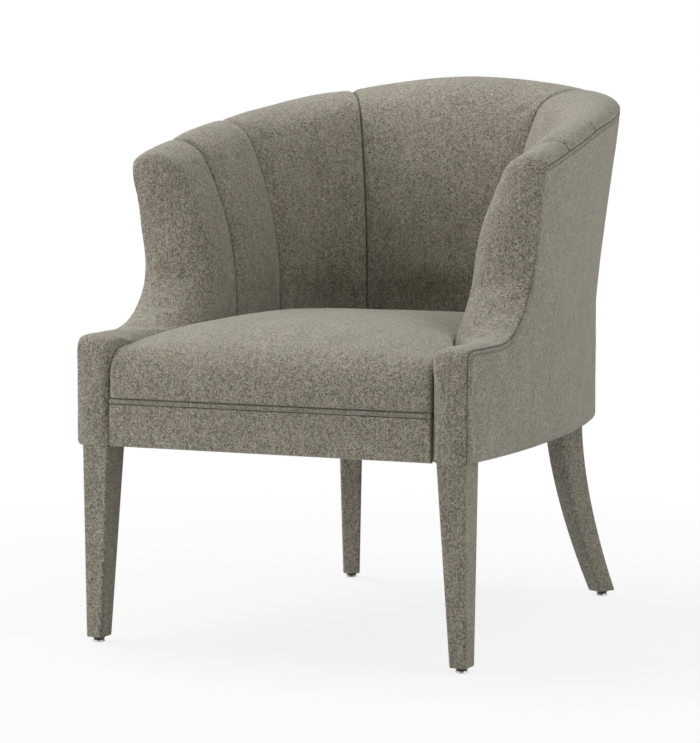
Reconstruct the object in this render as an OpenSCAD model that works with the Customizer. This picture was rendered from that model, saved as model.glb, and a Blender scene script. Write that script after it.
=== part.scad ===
// Channel-back barrel accent chair with swooping arms.
// Millimetres. +X is the sitter's left, -Y is the front, +Z is up.

/* [Overall] */
// Height of the crest at the middle of the back
crest_z = 820; // [780:1:860]
// Height of the top front corner of each wing
wing_z = 703; // [680:1:730]
// How the crest falls from the back to the wings: 1 is a steady fall
crest_fall = 1.35; // [1.1:0.05:1.8]
// Height of the underside of the upholstered body
body_bottom = 288; // [270:1:300]

/* [Outside outline] */
// Half width of the body at its widest, low down
low_half = 309; // [300:1:320]
// Distance of the widest place from the front, low down
low_widest_y = 140; // [100:1:180]
// Radius of the bowed side, low down
low_side_r = 1890; // [1600:10:2400]
// Distance of the outside of the back from the front, low down
low_back_y = 711; // [700:1:725]
// Radius of the rear corner, low down
low_corner_r = 80; // [72:1:110]
// Half width of the body at its widest, at the crest
top_half = 333; // [322:1:345]
// Distance of the widest place from the front, at the crest
top_widest_y = 220; // [160:1:260]
// Radius of the bowed side, at the crest
top_side_r = 1920; // [1600:10:2400]
// Distance of the outside of the back from the front, at the crest
top_back_y = 742; // [725:1:760]
// Radius of the rear corner, at the crest
top_corner_r = 160; // [120:1:180]

/* [Inside outline] */
// Half width between the arms at seat level
seat_half = 208; // [196:1:216]
// Distance of that width from the front
seat_widest_y = 270; // [200:1:320]
// Radius of the bowed inner side at seat level
seat_side_r = 1700; // [1400:10:2400]
// Distance of the inner back from the front at seat level
seat_back_y = 580; // [560:1:600]
// Radius of the inner rear corner at seat level
seat_corner_r = 130; // [110:1:145]
// Half width between the wings at the crest
rim_half = 280; // [270:1:286]
// Distance of the inner back from the front at the crest
rim_back_y = 668; // [655:1:680]
// Radius of the inner rear corner at the crest
rim_corner_r = 210; // [190:1:225]
// Height at which the walls start to lean outward
flare_z = 470; // [460:1:500]
// How the outside leans: 1 is a straight lean
outside_flare = 1.2; // [1:0.05:1.6]
// How the inside leans: 1 is a straight lean
inside_flare = 2.2; // [1.8:0.05:2.5]
// Half width between the toes of the arms
toe_half = 252; // [248:1:255]
// Distance from the front over which the toe stays narrow
toe_reach = 60; // [40:1:80]
// Distance from the front at which the arm has its full width
arm_full_y = 205; // [180:1:230]

/* [Arm profile] */
// Distance of the wing's front edge from the front, at its top
wing_front_y = 207; // [195:1:220]
// Distance of the wing's front edge from the front, where the sweep starts
sweep_front_y = 212; // [205:1:225]
// Radius of the wing's top front corner
wing_corner_r = 24; // [18:1:30]
// Radius of the arm's concave sweep down to the toe
sweep_r = 110; // [90:1:120]
// Height of the toe's top
toe_z = 447; // [440:1:455]
// Radius of the toe's front corner
toe_r = 22; // [16:1:28]
// How far the post stands in front of the front band
post_proud = 3; // [1:0.5:6]
// Depth of the rounded edge on its inner side, at the crest
roll_in = 35; // [28:1:40]
// Depth of the rounded edge on its outer side, at the crest
roll_out = 19; // [14:1:22]
// Depth of the rounded edge on its inner side, at the sweep
sweep_roll_in = 30; // [25:1:36]
// Depth of the rounded edge on its inner side, where the sweep meets the toe
toe_roll_in = 24; // [18:1:28]
// Depth of the rounded edge on its inner side, at the post
post_roll_in = 10; // [8:1:11]
// How far the arm's facing is tucked down beside the seat
facing_tuck_y = 45; // [36:1:52]
// Depth of the rounded edge on its outer side, at the front
front_roll_out = 5; // [3:0.5:6]

/* [Channels] */
// Place of the seam beside the middle channel, along the wall from the front
centre_seam = 766; // [720:1:800]
// Place of the second seam, as a distance from the front
rear_seam = 440; // [420:1:460]
// Place of the seam behind the wing, as a distance from the front
wing_seam = 310; // [290:1:330]
// Place of the seam between outside arm and outside back, along the wall
outside_seam = 690; // [640:5:720]
// Crown of the middle channel
centre_crown = 15; // [8:1:20]
// Crown of the wide channels
wide_crown = 16; // [10:1:20]
// Crown of the narrow channels
narrow_crown = 10; // [6:1:14]
// Lowest edge of the channels, below the seat's top
channel_bottom = 412; // [400:1:425]

/* [Seat] */
// Height of the seat's crown
seat_crown_z = 472; // [465:1:485]
// Height of the seat's top edge at the front
seat_edge_z = 428; // [420:1:436]
// Height of the seat's top edge at the arms and back
seat_side_z = 446; // [440:1:452]
// Height of the double seam across the front
seam_z = 353; // [345:1:360]
// Height of the band between the two rows of stitches
seam_band = 7; // [5:0.5:9]
// How far the seat's top front edge is set back
seat_setback = 18; // [12:1:24]

/* [Upholstery] */
// Thickness of the outside panels with their thin padding
outside_pad = 6; // [4:0.5:8]
// Thickness of the dust cover
dust_t = 1.2; // [0.8:0.1:2]
// Thickness of the fabric sleeve on a leg
sleeve_t = 1.5; // [1:0.1:2.5]
// Clearance between pieces that lie on each other
gap = 0.4; // [0.3:0.05:0.5]
// Clearance between panels at a seam
seam_gap = 0.6; // [0.4:0.1:1]

/* [Frame] */
// Thickness of the wing boards and the top rail
board_t = 20; // [16:1:22]
// Width of the wing boards and the top rail
board_w = 54; // [44:1:58]
// Depth of padding over the frame's edges
edge_pad = 12; // [10:0.5:14]
// Thickness of the seat rails
rail_t = 24; // [20:1:26]
// Height of the seat rails
rail_h = 56; // [48:1:58]
// Thickness of a front post
post_t = 34; // [30:1:35]
// Depth of a front post
post_d = 54; // [48:1:60]
// Width of a back upright
upright_w = 42; // [36:1:44]

/* [Springs] */
// Diameter of the spring wire
wire_d = 3.8; // [3.2:0.1:4.2]
// Width of a sinuous spring
spring_w = 46; // [40:1:52]
// Distance between springs
spring_pitch = 92; // [84:1:96]
// Number of loops in a spring
spring_loops = 9; // [7:1:11]
// Height of the springs' arc above the rails
spring_arc = 12; // [6:1:14]
// Thickness of the deck over the springs
deck_t = 2; // [1.5:0.1:3]
// Thickness of the foam slab on the deck
foam_t = 28; // [20:1:30]

/* [Legs] */
// Height of the glides' seat under the legs
leg_bottom = 8; // [7.5:0.5:9]
// Width of a front leg at its top
front_leg_w = 43; // [40:1:45]
// Depth of a front leg at its top
front_leg_d = 50; // [46:1:52]
// Width of a front leg at its foot
front_foot_w = 26; // [24:1:30]
// Depth of a front leg at its foot
front_foot_d = 31; // [28:1:36]
// Distance from the middle to the outer face of a front leg
front_leg_x = 299; // [296:1:301]
// Setback of a front leg's front face at the top
front_leg_y = 5; // [3:1:8]
// Setback of a front leg's front face at the foot
front_foot_y = 12; // [8:1:16]
// Place of a rear leg's top, to the side
rear_leg_x = 184; // [180:1:187]
// Place of a rear leg's top, from the front
rear_leg_y = 658; // [650:1:660]
// Width of a rear leg at its top
rear_leg_w = 39; // [36:1:41]
// Depth of a rear leg at its top
rear_leg_d = 48; // [44:1:50]
// Width of a rear leg at its foot
rear_foot_w = 27; // [25:1:30]
// Depth of a rear leg at its foot
rear_foot_d = 34; // [30:1:38]
// How far a rear leg sweeps back
rear_sweep = 86; // [70:1:90]
// Direction of the sweep, out from straight back
rear_turn = 25; // [15:1:30]

/* [Glides] */
// Diameter of a glide's disc
glide_d = 18; // [16:0.5:20]
// Height of a glide's disc
glide_h = 4; // [3:0.5:5]
// Diameter of a glide's stem
stem_d = 6; // [5:0.5:8]
// Running clearance round the stem
stem_gap = 0.05; // [0.03:0.01:0.08]
// Outside diameter of the threaded socket in the leg
socket_d = 10; // [9:0.5:12]
// Diameter of the socket's collar
collar_d = 18; // [16:0.5:20]
// How far a glide screws out
glide_travel = 10; // [6:1:12]
// Length of stem left in the socket when a glide is screwed right out
stem_grip = 8; // [6:1:10]

/* [Hidden] */
$fn = 32;

// Colours of the photographed materials
cloth = [0.48, 0.46, 0.41];
cloth_dark = [0.40, 0.38, 0.34];
birch = [0.80, 0.68, 0.50];
steel = [0.62, 0.62, 0.63];
foam_yellow = [0.93, 0.88, 0.70];
canvas = [0.82, 0.78, 0.68];
black_cloth = [0.10, 0.10, 0.10];
black_nylon = [0.08, 0.08, 0.08];

// An outline is [half width, its distance from the front, side radius, back, corner radius]
outside_low = [low_half, low_widest_y, low_side_r, low_back_y, low_corner_r];
outside_top = [top_half, top_widest_y, top_side_r, top_back_y, top_corner_r];
inside_low = [seat_half, seat_widest_y, seat_side_r, seat_back_y, seat_corner_r];
inside_top = [rim_half, top_widest_y, top_side_r, rim_back_y, rim_corner_r];

// Along the wall, c is the distance from the front up to side_y, and then runs
// on at an even pace round the corner to back_c at the middle of the back
side_y = 450;
back_c = 1000;

function mix(a, b, t) = a + (b - a) * t;
function smooth(t) = let (s = max(0, min(1, t))) s * s * (3 - 2 * s);
function unit(v) = v / norm(v);

// Angle of the side's arc where the corner's arc starts
function corner_turn(o) = asin((o[3] - o[4] - o[1]) / (o[2] - o[4]));
function corner_x(o) = o[0] - o[2] + (o[2] - o[4]) * cos(corner_turn(o));
function side_x(o, y) = o[0] - o[2] + sqrt(o[2] * o[2] - (y - o[1]) * (y - o[1]));
function side_turn(o) = asin((side_y - o[1]) / o[2]);
function corner_length(o) = o[4] * (90 - corner_turn(o)) * PI / 180;
function wall_length(o) =
  corner_x(o) + corner_length(o) + o[2] * (corner_turn(o) - side_turn(o)) * PI / 180;

// Point of outline o at place c: flat back, then the corner, then the bowed side
function outline_point(o, c) =
  let (s = (back_c - c) / (back_c - side_y) * wall_length(o))
  let (on_back = corner_x(o), on_corner = on_back + corner_length(o))
  let (a = 90 - (s - on_back) / o[4] * 180 / PI)
  let (b = corner_turn(o) - (s - on_corner) / o[2] * 180 / PI)
  c <= side_y ? [side_x(o, c), c] :
  s <= on_back ? [s, o[3]] :
  s <= on_corner ? [on_back + o[4] * cos(a), o[3] - o[4] + o[4] * sin(a)] :
  [o[0] - o[2] + o[2] * cos(b), o[1] + o[2] * sin(b)];

// Height of the crest at place c
ridge_outline = mix(inside_top, outside_top, 0.5);
function ridge_path(c) =
  c <= side_y ? wall_length(ridge_outline) + side_y - c :
  wall_length(ridge_outline) * (back_c - c) / (back_c - side_y);
// The fall is eased at the middle of the back, which a bare power would leave pointed
crest_ease = 60;
function crest_drop(c) =
  pow(pow(ridge_path(c), 2) + pow(crest_ease, 2), crest_fall / 2) - pow(crest_ease, crest_fall);
function crest(c) =
  crest_z - (crest_z - wing_z) * min(1, crest_drop(c) / crest_drop(wing_front_y));

// The wall's two faces at place c and height z, as 3-D points
function lean(c, z, power) =
  pow(max(0, z - flare_z) / (crest(max(c, wing_front_y)) - flare_z), power);
function outer(c, z) =
  let (p = outline_point(mix(outside_low, outside_top, lean(c, z, outside_flare)), c))
  [p[0], p[1], z];
function relief(c) = c >= arm_full_y ? 0 :
  (toe_half - side_x(inside_low, c)) * (1 - smooth((c - toe_reach) / (arm_full_y - toe_reach)));
function inner(c, z) =
  let (p = outline_point(mix(inside_low, inside_top, lean(c, z, inside_flare)), c))
  [p[0] + relief(c), p[1], z];
function into_wall(c, z) = unit([for (k = [0, 1]) inner(c, z)[k] - outer(c, z)[k]]);
// Point at a depth under the outside face
function layer(c, z, depth) =
  let (d = into_wall(c, z), p = outer(c, z)) [p[0] + d[0] * depth, p[1] + d[1] * depth, z];

// Depths of the layers under the outside face
frame_out = outside_pad + gap;
frame_in = frame_out + board_t;
pad_back = frame_in + gap;
rail_in = frame_out + rail_t;
rail_bottom = body_bottom + 2;
rail_top = rail_bottom + rail_h;

// Closed solid between two grids of points, with faces as triangles
function flat(rows) = [for (row = rows) each row];
function quad(a, b, c, d) = [[a, b, c], [a, c, d]];
module grid_solid(front, back) {
  n = len(front);
  m = len(front[0]);
  size = n * m;
  faces = [
    for (i = [0:n - 2], j = [0:m - 2])
      each quad(i * m + j, (i + 1) * m + j, (i + 1) * m + j + 1, i * m + j + 1),
    for (i = [0:n - 2], j = [0:m - 2])
      each quad(size + i * m + j, size + i * m + j + 1,
                size + (i + 1) * m + j + 1, size + (i + 1) * m + j),
    for (i = [0:n - 2])
      each quad(i * m, size + i * m, size + (i + 1) * m, (i + 1) * m),
    for (i = [0:n - 2])
      each quad(i * m + m - 1, (i + 1) * m + m - 1,
                size + (i + 1) * m + m - 1, size + i * m + m - 1),
    for (j = [0:m - 2]) each quad(j, j + 1, size + j + 1, size + j),
    for (j = [0:m - 2])
      each quad((n - 1) * m + j, size + (n - 1) * m + j,
                size + (n - 1) * m + j + 1, (n - 1) * m + j + 1)
  ];
  polyhedron(points = concat(flat(front), flat(back)), faces = faces, convexity = 8);
}

function steps(a, b, n) = [for (i = [0:n]) mix(a, b, i / n)];

// From the middle of the back, w counts places along the wall, with the sitter's
// right side below zero
function place(w) = back_c - abs(w);
function signed(w, p) = w < 0 ? [-p[0], p[1], p[2]] : p;

// Every layer of the wall has its corners at the same marks, so they stay parallel
flat_w = 142;
centre_w = back_c - centre_seam;
outside_w = back_c - outside_seam;
corner_w = 380;
side_w = back_c - side_y;
rear_w = back_c - rear_seam;
wing_w = back_c - wing_seam;
marks = concat(steps(0, flat_w, 3), steps(flat_w, centre_w, 4), steps(centre_w, outside_w, 3),
               steps(outside_w, corner_w, 3), steps(corner_w, side_w, 4),
               steps(side_w, rear_w, 2), steps(rear_w, wing_w, 4));
edge_column = 12;
function marks_from(a, b) =
  let (inside = [for (m = marks) if (m > a + edge_column && m < b - edge_column) m])
  concat([a], [for (i = [0:1:len(inside) - 1]) if (i == 0 || inside[i] > inside[i - 1] + 1) inside[i]],
         [b]);
function marks_across(b) =
  let (half = marks_from(0, b), n = len(half) - 1)
  concat([for (i = [n:-1:1]) -half[i]], half);

// At the rear corner the cover is drawn further down over the edge
corner_c = 600;
corner_span = 85;
corner_drop = 5;
function roll_out_at(c) = roll_out + corner_drop * exp(-pow((c - corner_c) / corner_span, 2));
function seam_height(c) = crest(c) - roll_out_at(c) - seam_gap;
// A height below zero is counted down from the crest, and one up to 1 is a share of
// the way from flare_z to the seam under the crest; the rest are as they are
function height_at(c, t) = t < 0 ? crest(c) + t : t <= 1 ? mix(flare_z, seam_height(c), t) : t;
// Solid of a layer of the wall between places, heights and two depths
module layer_solid(places, heights, depth_out, depth_in) {
  function rows(depth) =
    [for (w = places) let (c = place(w))
      [for (t = heights) signed(w, layer(c, height_at(c, t), depth))]];
  grid_solid(rows(depth_out), rows(depth_in));
}

// Both sides: the shape as drawn is the sitter's left one
module side(which) {
  if (which == "left") {
    children();
  } else {
    mirror([1, 0, 0]) children();
  }
}

// Rim of the left arm, seen from the side, as rows of
// [distance from the front, height, inner roll depth, outer roll depth]
function arc_points(centre, r, a, b, n) =
  [for (t = steps(a, b, n)) centre + r * [cos(t), sin(t)]];
function with_rolls(points, in_a, in_b, out_a, out_b) =
  let (n = len(points) - 1)
  [for (i = [0:n]) [points[i][0], points[i][1], mix(in_a, in_b, i / n), mix(out_a, out_b, i / n)]];
function crest_slope(c) = atan((crest(c + 5) - crest(c - 5)) / 10);

wing_y = wing_front_y + wing_corner_r;
wing_centre = [wing_y, crest(wing_y) - wing_corner_r / cos(crest_slope(wing_y))];
sweep_centre = [sweep_front_y - sweep_r, toe_z + 2 + sweep_r];
toe_centre = [toe_r - post_proud, toe_z - toe_r];
tuck_step_z = rail_top + 8;
post_top = rail_top + 30;
post_clear_z = post_top + gap + 3;
wing_slope = crest_slope(wing_y);

crest_row = [for (c = steps(wing_seam - seam_gap / 2, wing_y, 3)) [c, crest(c)]];
corner_row = arc_points(wing_centre, wing_corner_r, 90 + wing_slope + 20, 180, 3);
front_row = [for (t = [0.35, 0.7])
  mix([wing_front_y, wing_centre[1]], sweep_centre + [sweep_r, 0], t)];
sweep_row = arc_points(sweep_centre, sweep_r, 0, -86, 6);
toe_row = [for (t = [0.35, 0.7]) mix([sweep_centre[0], toe_z + 2], [toe_centre[0], toe_z], t)];
toe_corner_row = arc_points(toe_centre, toe_r, 90, 180, 3);
post_row = [for (z = [mix(toe_centre[1], post_clear_z, 0.5), post_clear_z, tuck_step_z + 4,
                      tuck_step_z - 2, mix(tuck_step_z, body_bottom, 0.5), body_bottom])
  [-post_proud, z]];
rim = concat(
  with_rolls(crest_row, roll_in, roll_in, roll_out, roll_out),
  with_rolls(corner_row, roll_in, roll_in, roll_out, front_roll_out),
  with_rolls(front_row, roll_in, sweep_roll_in, front_roll_out, front_roll_out),
  with_rolls(sweep_row, sweep_roll_in, toe_roll_in, front_roll_out, front_roll_out),
  with_rolls(toe_row, toe_roll_in, post_roll_in, front_roll_out, front_roll_out),
  with_rolls(toe_corner_row, post_roll_in, post_roll_in, front_roll_out, front_roll_out),
  with_rolls(post_row, post_roll_in, post_roll_in, front_roll_out, front_roll_out)
);
rim_last = len(rim) - 1;
// First row of the sweep's lower half, of the toe's corner and of the post
low_sweep_at = len(crest_row) + len(corner_row) + len(front_row) + 3;
toe_corner_at = low_sweep_at + 4 + len(toe_row);
post_at = toe_corner_at + len(toe_corner_row);

// Direction from rim row i into the arm, seen from the side
function rim_inward(i) =
  let (a = rim[max(0, i - 1)], b = rim[min(rim_last, i + 1)], t = unit([b[0] - a[0], b[1] - a[1]]))
  i >= post_at ? [1, 0] :
  i < len(crest_row) ? unit(mix([0, -1], [-t[1], t[0]], i / len(crest_row))) : [-t[1], t[0]];
function rim_at(i, depth) = [rim[i][0], rim[i][1]] + depth * rim_inward(i);
// The roll's start turns more slowly round the wing's tight corner, so that it doesn't fold
sweep_at = len(crest_row) + len(corner_row) + len(front_row);
function start_inward(i) =
  let (reach = i < sweep_at ? min(2, i) : 0)
  let (near = [for (k = [i - reach:i + reach]) rim_inward(k)])
  unit([for (n = near) 1] * near);
function start_at(i) = [rim[i][0], rim[i][1]] + rim[i][2] * start_inward(i);

// One section across a padded edge: the show face and the hidden back, from the
// inner boundary, over the rolled edge, to the outer seam. The inner places are
// rows of [place along the wall, height], the last of them where the roll starts
roll_share = [0.18, 0.36, 0.54, 0.7, 0.85, 1];
outer_pull = 1.5;
// The roll leaves the outer seam a little inward of the outside face
roll_lean = 0.3;
function bezier(a, b, c, d, t) =
  pow(1 - t, 3) * a + 3 * pow(1 - t, 2) * t * b + 3 * (1 - t) * t * t * c + pow(t, 3) * d;
function section_show(rim_q, inward, start_in, d_in, d_out, places) =
  let (qa = places[len(places) - 1], qb = rim_q + d_out * inward)
  let (pa = inner(qa[0], qa[1]), pb = outer(qb[0], qb[1]))
  let (qa_in = qa + start_in, qb_in = qb + inward)
  let (slope_a = pa - inner(qa_in[0], qa_in[1]))
  let (slope_b = pb - outer(qb_in[0], qb_in[1]) + roll_lean * concat(into_wall(qb[0], qb[1]), [0]))
  concat(
    [for (q = places) inner(q[0], q[1])],
    [for (t = roll_share)
      bezier(pa, pa + d_in * slope_a, pb + outer_pull * d_out * slope_b, pb, t)]
  );
function section_back(rim_q, inward, d_in, d_out, places, back_depth) =
  let (edge = min(edge_pad, d_in - 1), hook = d_out > edge ? outside_pad : outside_pad + 2 * gap)
  let (q_mid = rim_q + mix(d_in, edge, 0.5) * inward, q_edge = rim_q + edge * inward)
  let (q_hook = rim_q + d_out * inward)
  concat(
    [for (q = places) layer(q[0], q[1], back_depth)],
    [layer(q_mid[0], q_mid[1], back_depth)],
    [for (t = [0, 0.33, 0.67, 1]) layer(q_edge[0], q_edge[1], mix(back_depth, hook, t))],
    [layer(q_hook[0], q_hook[1], hook)]
  );

// A channel between two places on the wall, with its crown
channel_share = [0.14, 0.3, 0.5, 0.74, 1];
function crown_share(t) = 1 - pow(abs(2 * t - 1), 3);
function crown_rise(z) = smooth((z - flare_z) / 60);
function channel_places(c) =
  concat([[c, channel_bottom], [c, flare_z]],
         [for (t = channel_share) [c, mix(flare_z, crest(c) - roll_in, t)]]);
function channel_show(w, t, crown) =
  let (c = place(w), places = channel_places(c))
  let (row = section_show([c, crest(c)], [0, -1], [0, -1], roll_in, roll_out_at(c), places))
  let (n = len(places) - 1, last = len(row) - 1, away = into_wall(c, crest(c) - roll_in))
  [for (i = [0:last])
    let (over = max(0, (i - n) / (last - n)), a = 180 * over)
    let (push = crown * crown_share(t) * crown_rise(row[i][2]) * pow(1 - over, 1.3))
    signed(w, row[i] + push * [away[0] * cos(a), away[1] * cos(a), sin(a) * 0.4])];
function channel_back(w) =
  let (c = place(w))
  [for (p = section_back([c, crest(c)], [0, -1], roll_in, roll_out_at(c), channel_places(c), pad_back))
    signed(w, p)];
module channel(places, crown) {
  first = places[0];
  span = places[len(places) - 1] - first;
  color(cloth) grid_solid(
    [for (w = places) channel_back(w)],
    [for (w = places) channel_show(w, (w - first) / span, crown)]
  );
}
seam_half = seam_gap / 2;
module back_channel_centre() { channel(marks_across(centre_w - seam_half), centre_crown); }
module wide_channel() { channel(marks_from(centre_w + seam_half, rear_w - seam_half), wide_crown); }
module narrow_channel() { channel(marks_from(rear_w + seam_half, wing_w - seam_half), narrow_crown); }
module back_channel_left() { side("left") wide_channel(); }
module back_channel_right() { side("right") wide_channel(); }
module side_channel_left() { side("left") narrow_channel(); }
module side_channel_right() { side("right") narrow_channel(); }

// The arm's facing: from the wing seam over the wing, down the sweep, round the
// toe and down the post
wing_inner_top = [wing_seam - seam_half, crest(wing_seam) - roll_in - 15];
wing_inner_low = [wing_seam - seam_half, channel_bottom];
function facing_boundary(i) =
  i <= low_sweep_at ? mix(wing_inner_top, wing_inner_low, i / low_sweep_at) :
  i <= toe_corner_at ? mix(wing_inner_low, [facing_tuck_y, channel_bottom],
                           (i - low_sweep_at) / (toe_corner_at - low_sweep_at)) :
  rim[i][1] > tuck_step_z ? [facing_tuck_y, min(rim[i][1], channel_bottom - 2 * (i - toe_corner_at))] :
  [edge_pad, rim[i][1]];
function facing_places(i) =
  [for (t = [0, 0.35, 0.7, 1]) mix(facing_boundary(i), start_at(i), t)];

// The front post is a straight block inside the bowed side
post_edge = min(edge_pad, post_roll_in - 1);
post_y = post_edge - post_proud + gap;
post_outer_x = side_x(outside_low, post_y) - frame_out;
post_x = post_outer_x - post_t;
post_back = side_x(outside_low, facing_tuck_y) - post_x + gap;
function facing_back_depth(i) = i >= post_at && rim[i][1] <= post_clear_z ? post_back : pad_back + 1;
module facing() {
  show = [for (i = [0:rim_last])
    section_show(rim_at(i, 0), rim_inward(i), start_inward(i), rim[i][2], rim[i][3],
                 facing_places(i))];
  back = [for (i = [0:rim_last])
    section_back(rim_at(i, 0), rim_inward(i), rim[i][2], rim[i][3], facing_places(i),
                 facing_back_depth(i))];
  color(cloth) grid_solid(back, show);
}
module arm_facing_left() { side("left") facing(); }
module arm_facing_right() { side("right") facing(); }

// Outside panels, from the rounded bottom edge up to the seam under the crest
edge_round = 4.5;
function panel_rows(low_c, high, depth) =
  let (bend_z = min(flare_z, mix(body_bottom, high[1], 0.62)), turn = depth > 0 ? 0 : edge_round)
  let (rise = high[1] - body_bottom)
  let (bend = bend_z - body_bottom)
  let (upper = [for (t = [0, 0.25, 0.5, 0.75, 1]) [mix(bend, rise, t), 0]])
  [for (row = concat([[0, turn], [3, turn * 0.3], [10, 0]], upper))
    layer(mix(low_c, high[0], row[0] / rise), body_bottom + row[0], depth + row[1])];
function panel_top(i) = rim_at(i, rim[i][3] + seam_gap);
arm_marks = marks_from(outside_w + seam_half, wing_w);
panel_tops = concat(
  [for (i = [post_at - 1:-1:0]) panel_top(i)],
  [for (i = [len(arm_marks) - 2:-1:0]) let (c = place(arm_marks[i])) [c, seam_height(c)]]
);
// Under the sweep the columns are spread evenly along the bottom edge
spread_from = len(toe_corner_row) + len(toe_row) - 1;
spread_to = post_at - len(crest_row);
function panel_low_c(i) =
  i <= spread_from || i >= spread_to ? panel_tops[i][0] :
  mix(panel_tops[spread_from][0], panel_tops[spread_to][0],
      (i - spread_from) / (spread_to - spread_from));
module outside_arm() {
  function rows(depth) =
    [for (i = [0:len(panel_tops) - 1]) panel_rows(panel_low_c(i), panel_tops[i], depth)];
  color(cloth) grid_solid(rows(outside_pad), rows(0));
}
module outside_arm_left() { side("left") outside_arm(); }
module outside_arm_right() { side("right") outside_arm(); }
module outside_back() {
  places = marks_across(outside_w - seam_half);
  function rows(depth) = [for (w = places) let (c = place(w))
    [for (p = panel_rows(c, [c, seam_height(c)], depth)) signed(w, p)]];
  color(cloth) grid_solid(rows(0), rows(outside_pad));
}

// Springs run from the front rail to the back rail and arch up between them
clip_t = 1.2;
clip_l = 12;
clip_w = 10;
clip_back = 8;
wire_z = rail_top + clip_t + 0.3 + wire_d / 2;
clip_top = wire_z + wire_d / 2 + 0.3;
front_rail_y = edge_pad + 0.6;
spring_from = front_rail_y + rail_t / 2;
rail_mid = frame_out + rail_t / 2;
function spring_to(x) =
  let (o = outside_low, r = o[4] - rail_mid, dx = abs(x) - corner_x(o))
  dx < 0 ? o[3] - rail_mid : o[3] - o[4] + sqrt(max(1, r * r - dx * dx));
function arch(y) = sin(180 * max(0, min(1, (y - spring_from) / (spring_to(0) - spring_from))));
function deck_z(y) = clip_top + clip_t + gap + (spring_arc - 1) * arch(y);
cushion_bottom = clip_top + clip_t + gap + spring_arc - 1 + deck_t + foam_t + 2 * gap;
module spring(x) {
  bars = 2 * spring_loops + 1;
  first = spring_from;
  pitch = (spring_to(x) - first) / (bars - 1);
  reach = (spring_w - wire_d) / 2;
  // Each bar runs across and ends in a half turn to the next one
  path = [for (i = [0:bars - 1]) let (s = i % 2 == 0 ? 1 : -1, y = first + i * pitch)
    each [[-s * reach * 0.7, y], [s * reach * 0.7, y], [s * reach, y + pitch / 2]]];
  last = len(path) - 2;
  function at(i) =
    let (p = path[max(0, min(last, i))]) [x + p[0], p[1], wire_z + spring_arc * arch(p[1])];
  show = [for (i = [0:last])
    let (t = unit(at(i + 1) - at(i - 1)), s = unit(cross(t, [0, 0, 1])))
    [for (k = [0:3]) at(i) + wire_d / 2 * (s * cos(90 * k + 45) + [0, 0, 1] * sin(90 * k + 45))]];
  faces = concat(
    [for (i = [0:last - 1], k = [0:3])
      each quad(i * 4 + k, i * 4 + (k + 1) % 4, (i + 1) * 4 + (k + 1) % 4, (i + 1) * 4 + k)],
    quad(3, 2, 1, 0),
    quad(last * 4, last * 4 + 1, last * 4 + 2, last * 4 + 3)
  );
  polyhedron(points = flat(show), faces = faces, convexity = 10);
}
spring_places = [for (i = [-2:2]) i * spring_pitch];
module seat_springs() {
  color(steel) for (x = spring_places) spring(x);
}
module clip() {
  lip = clip_top - rail_top;
  profile = [[0, 0], [clip_l, 0], [clip_l, lip + clip_t], [0, lip + clip_t], [0, lip],
             [clip_l - clip_t, lip], [clip_l - clip_t, clip_t], [0, clip_t]];
  rotate([90, 0, 90]) linear_extrude(clip_w, center = true) polygon(profile);
}
module spring_clips() {
  color(steel) for (x = spring_places) {
    translate([x, spring_to(x) - clip_back, rail_top]) clip();
    translate([x, spring_from + clip_back, rail_top]) mirror([0, 1, 0]) clip();
  }
}
module seat_deck() {
  inset = frame_in + 2 * gap + 0.6;
  r = low_corner_r - inset;
  corner_y = low_back_y - low_corner_r;
  turn_y = corner_y + r * sin(corner_turn(outside_low));
  rows = concat(steps(front_rail_y + 6, turn_y, 8),
                [for (a = [35, 55, 75, 88]) corner_y + r * sin(a)]);
  function half(y) = y > turn_y ? corner_x(outside_low) + sqrt(r * r - pow(y - corner_y, 2)) :
    min(toe_half - 4, side_x(outside_low, y) - inset);
  function sheet(up) = [for (y = rows) [for (u = [-1, 1]) [u * half(y), y, deck_z(y) + up]]];
  color(canvas) grid_solid(sheet(deck_t), sheet(0));
}

// Seat: half width of the cushion at a distance from the front
seat_clear = 0.6;
toe_clear = 3;
toe_clear_y = toe_reach - 35;
seat_corner_y = seat_back_y - seat_corner_r;
function seat_x(y) =
  let (corner_y = seat_corner_y + seat_corner_r * sin(corner_turn(inside_low)))
  (y <= corner_y ? side_x(inside_low, y) + relief(y) :
   corner_x(inside_low) + sqrt(max(0, pow(seat_corner_r, 2) - pow(y - seat_corner_y, 2)))) - seat_clear
  - toe_clear * sin(180 * max(0, min(1, (y - toe_clear_y) / (arm_full_y - toe_clear_y))));
seat_back = seat_back_y - seat_clear;
lip_t = edge_pad - 1;
lip_z = seam_z + seam_band / 2 + gap;
// Rows of the front lip as [show y, show z, hidden y, hidden z]
lip_rows = [
  [0, lip_z, lip_t, lip_z],
  [0.3, mix(lip_z, seat_edge_z, 0.35), lip_t + 0.2, mix(lip_z, cushion_bottom, 0.4)],
  [2.5, mix(lip_z, seat_edge_z, 0.65), lip_t + 0.6, mix(lip_z, cushion_bottom, 0.75)],
  [8, mix(lip_z, seat_edge_z, 0.88), lip_t + 2, cushion_bottom - 1.5]
];
seat_rows = concat(steps(seat_setback, toe_reach, 2), steps(toe_reach + 25, arm_full_y, 5),
                   steps(arm_full_y + 70, seat_corner_y, 3),
                   [for (a = [30, 50, 68]) seat_corner_y + seat_corner_r * sin(a)], [seat_back]);
seat_across = [-1, -0.96, -0.86, -0.66, -0.4, -0.14, 0.14, 0.4, 0.66, 0.86, 0.96, 1];
function seat_top(u, y) =
  let (v = (y - seat_setback) / (seat_back - seat_setback))
  let (edge = mix(seat_edge_z, seat_side_z, smooth(v * 4)))
  let (rise = v < 0.38 ? sin(90 * v / 0.38) : mix(1, 0.3, smooth((v - 0.38) / 0.62)))
  edge + (seat_crown_z - edge) * rise * (1 - pow(abs(u), 3)) - 6 * pow(abs(u), 12);
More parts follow.
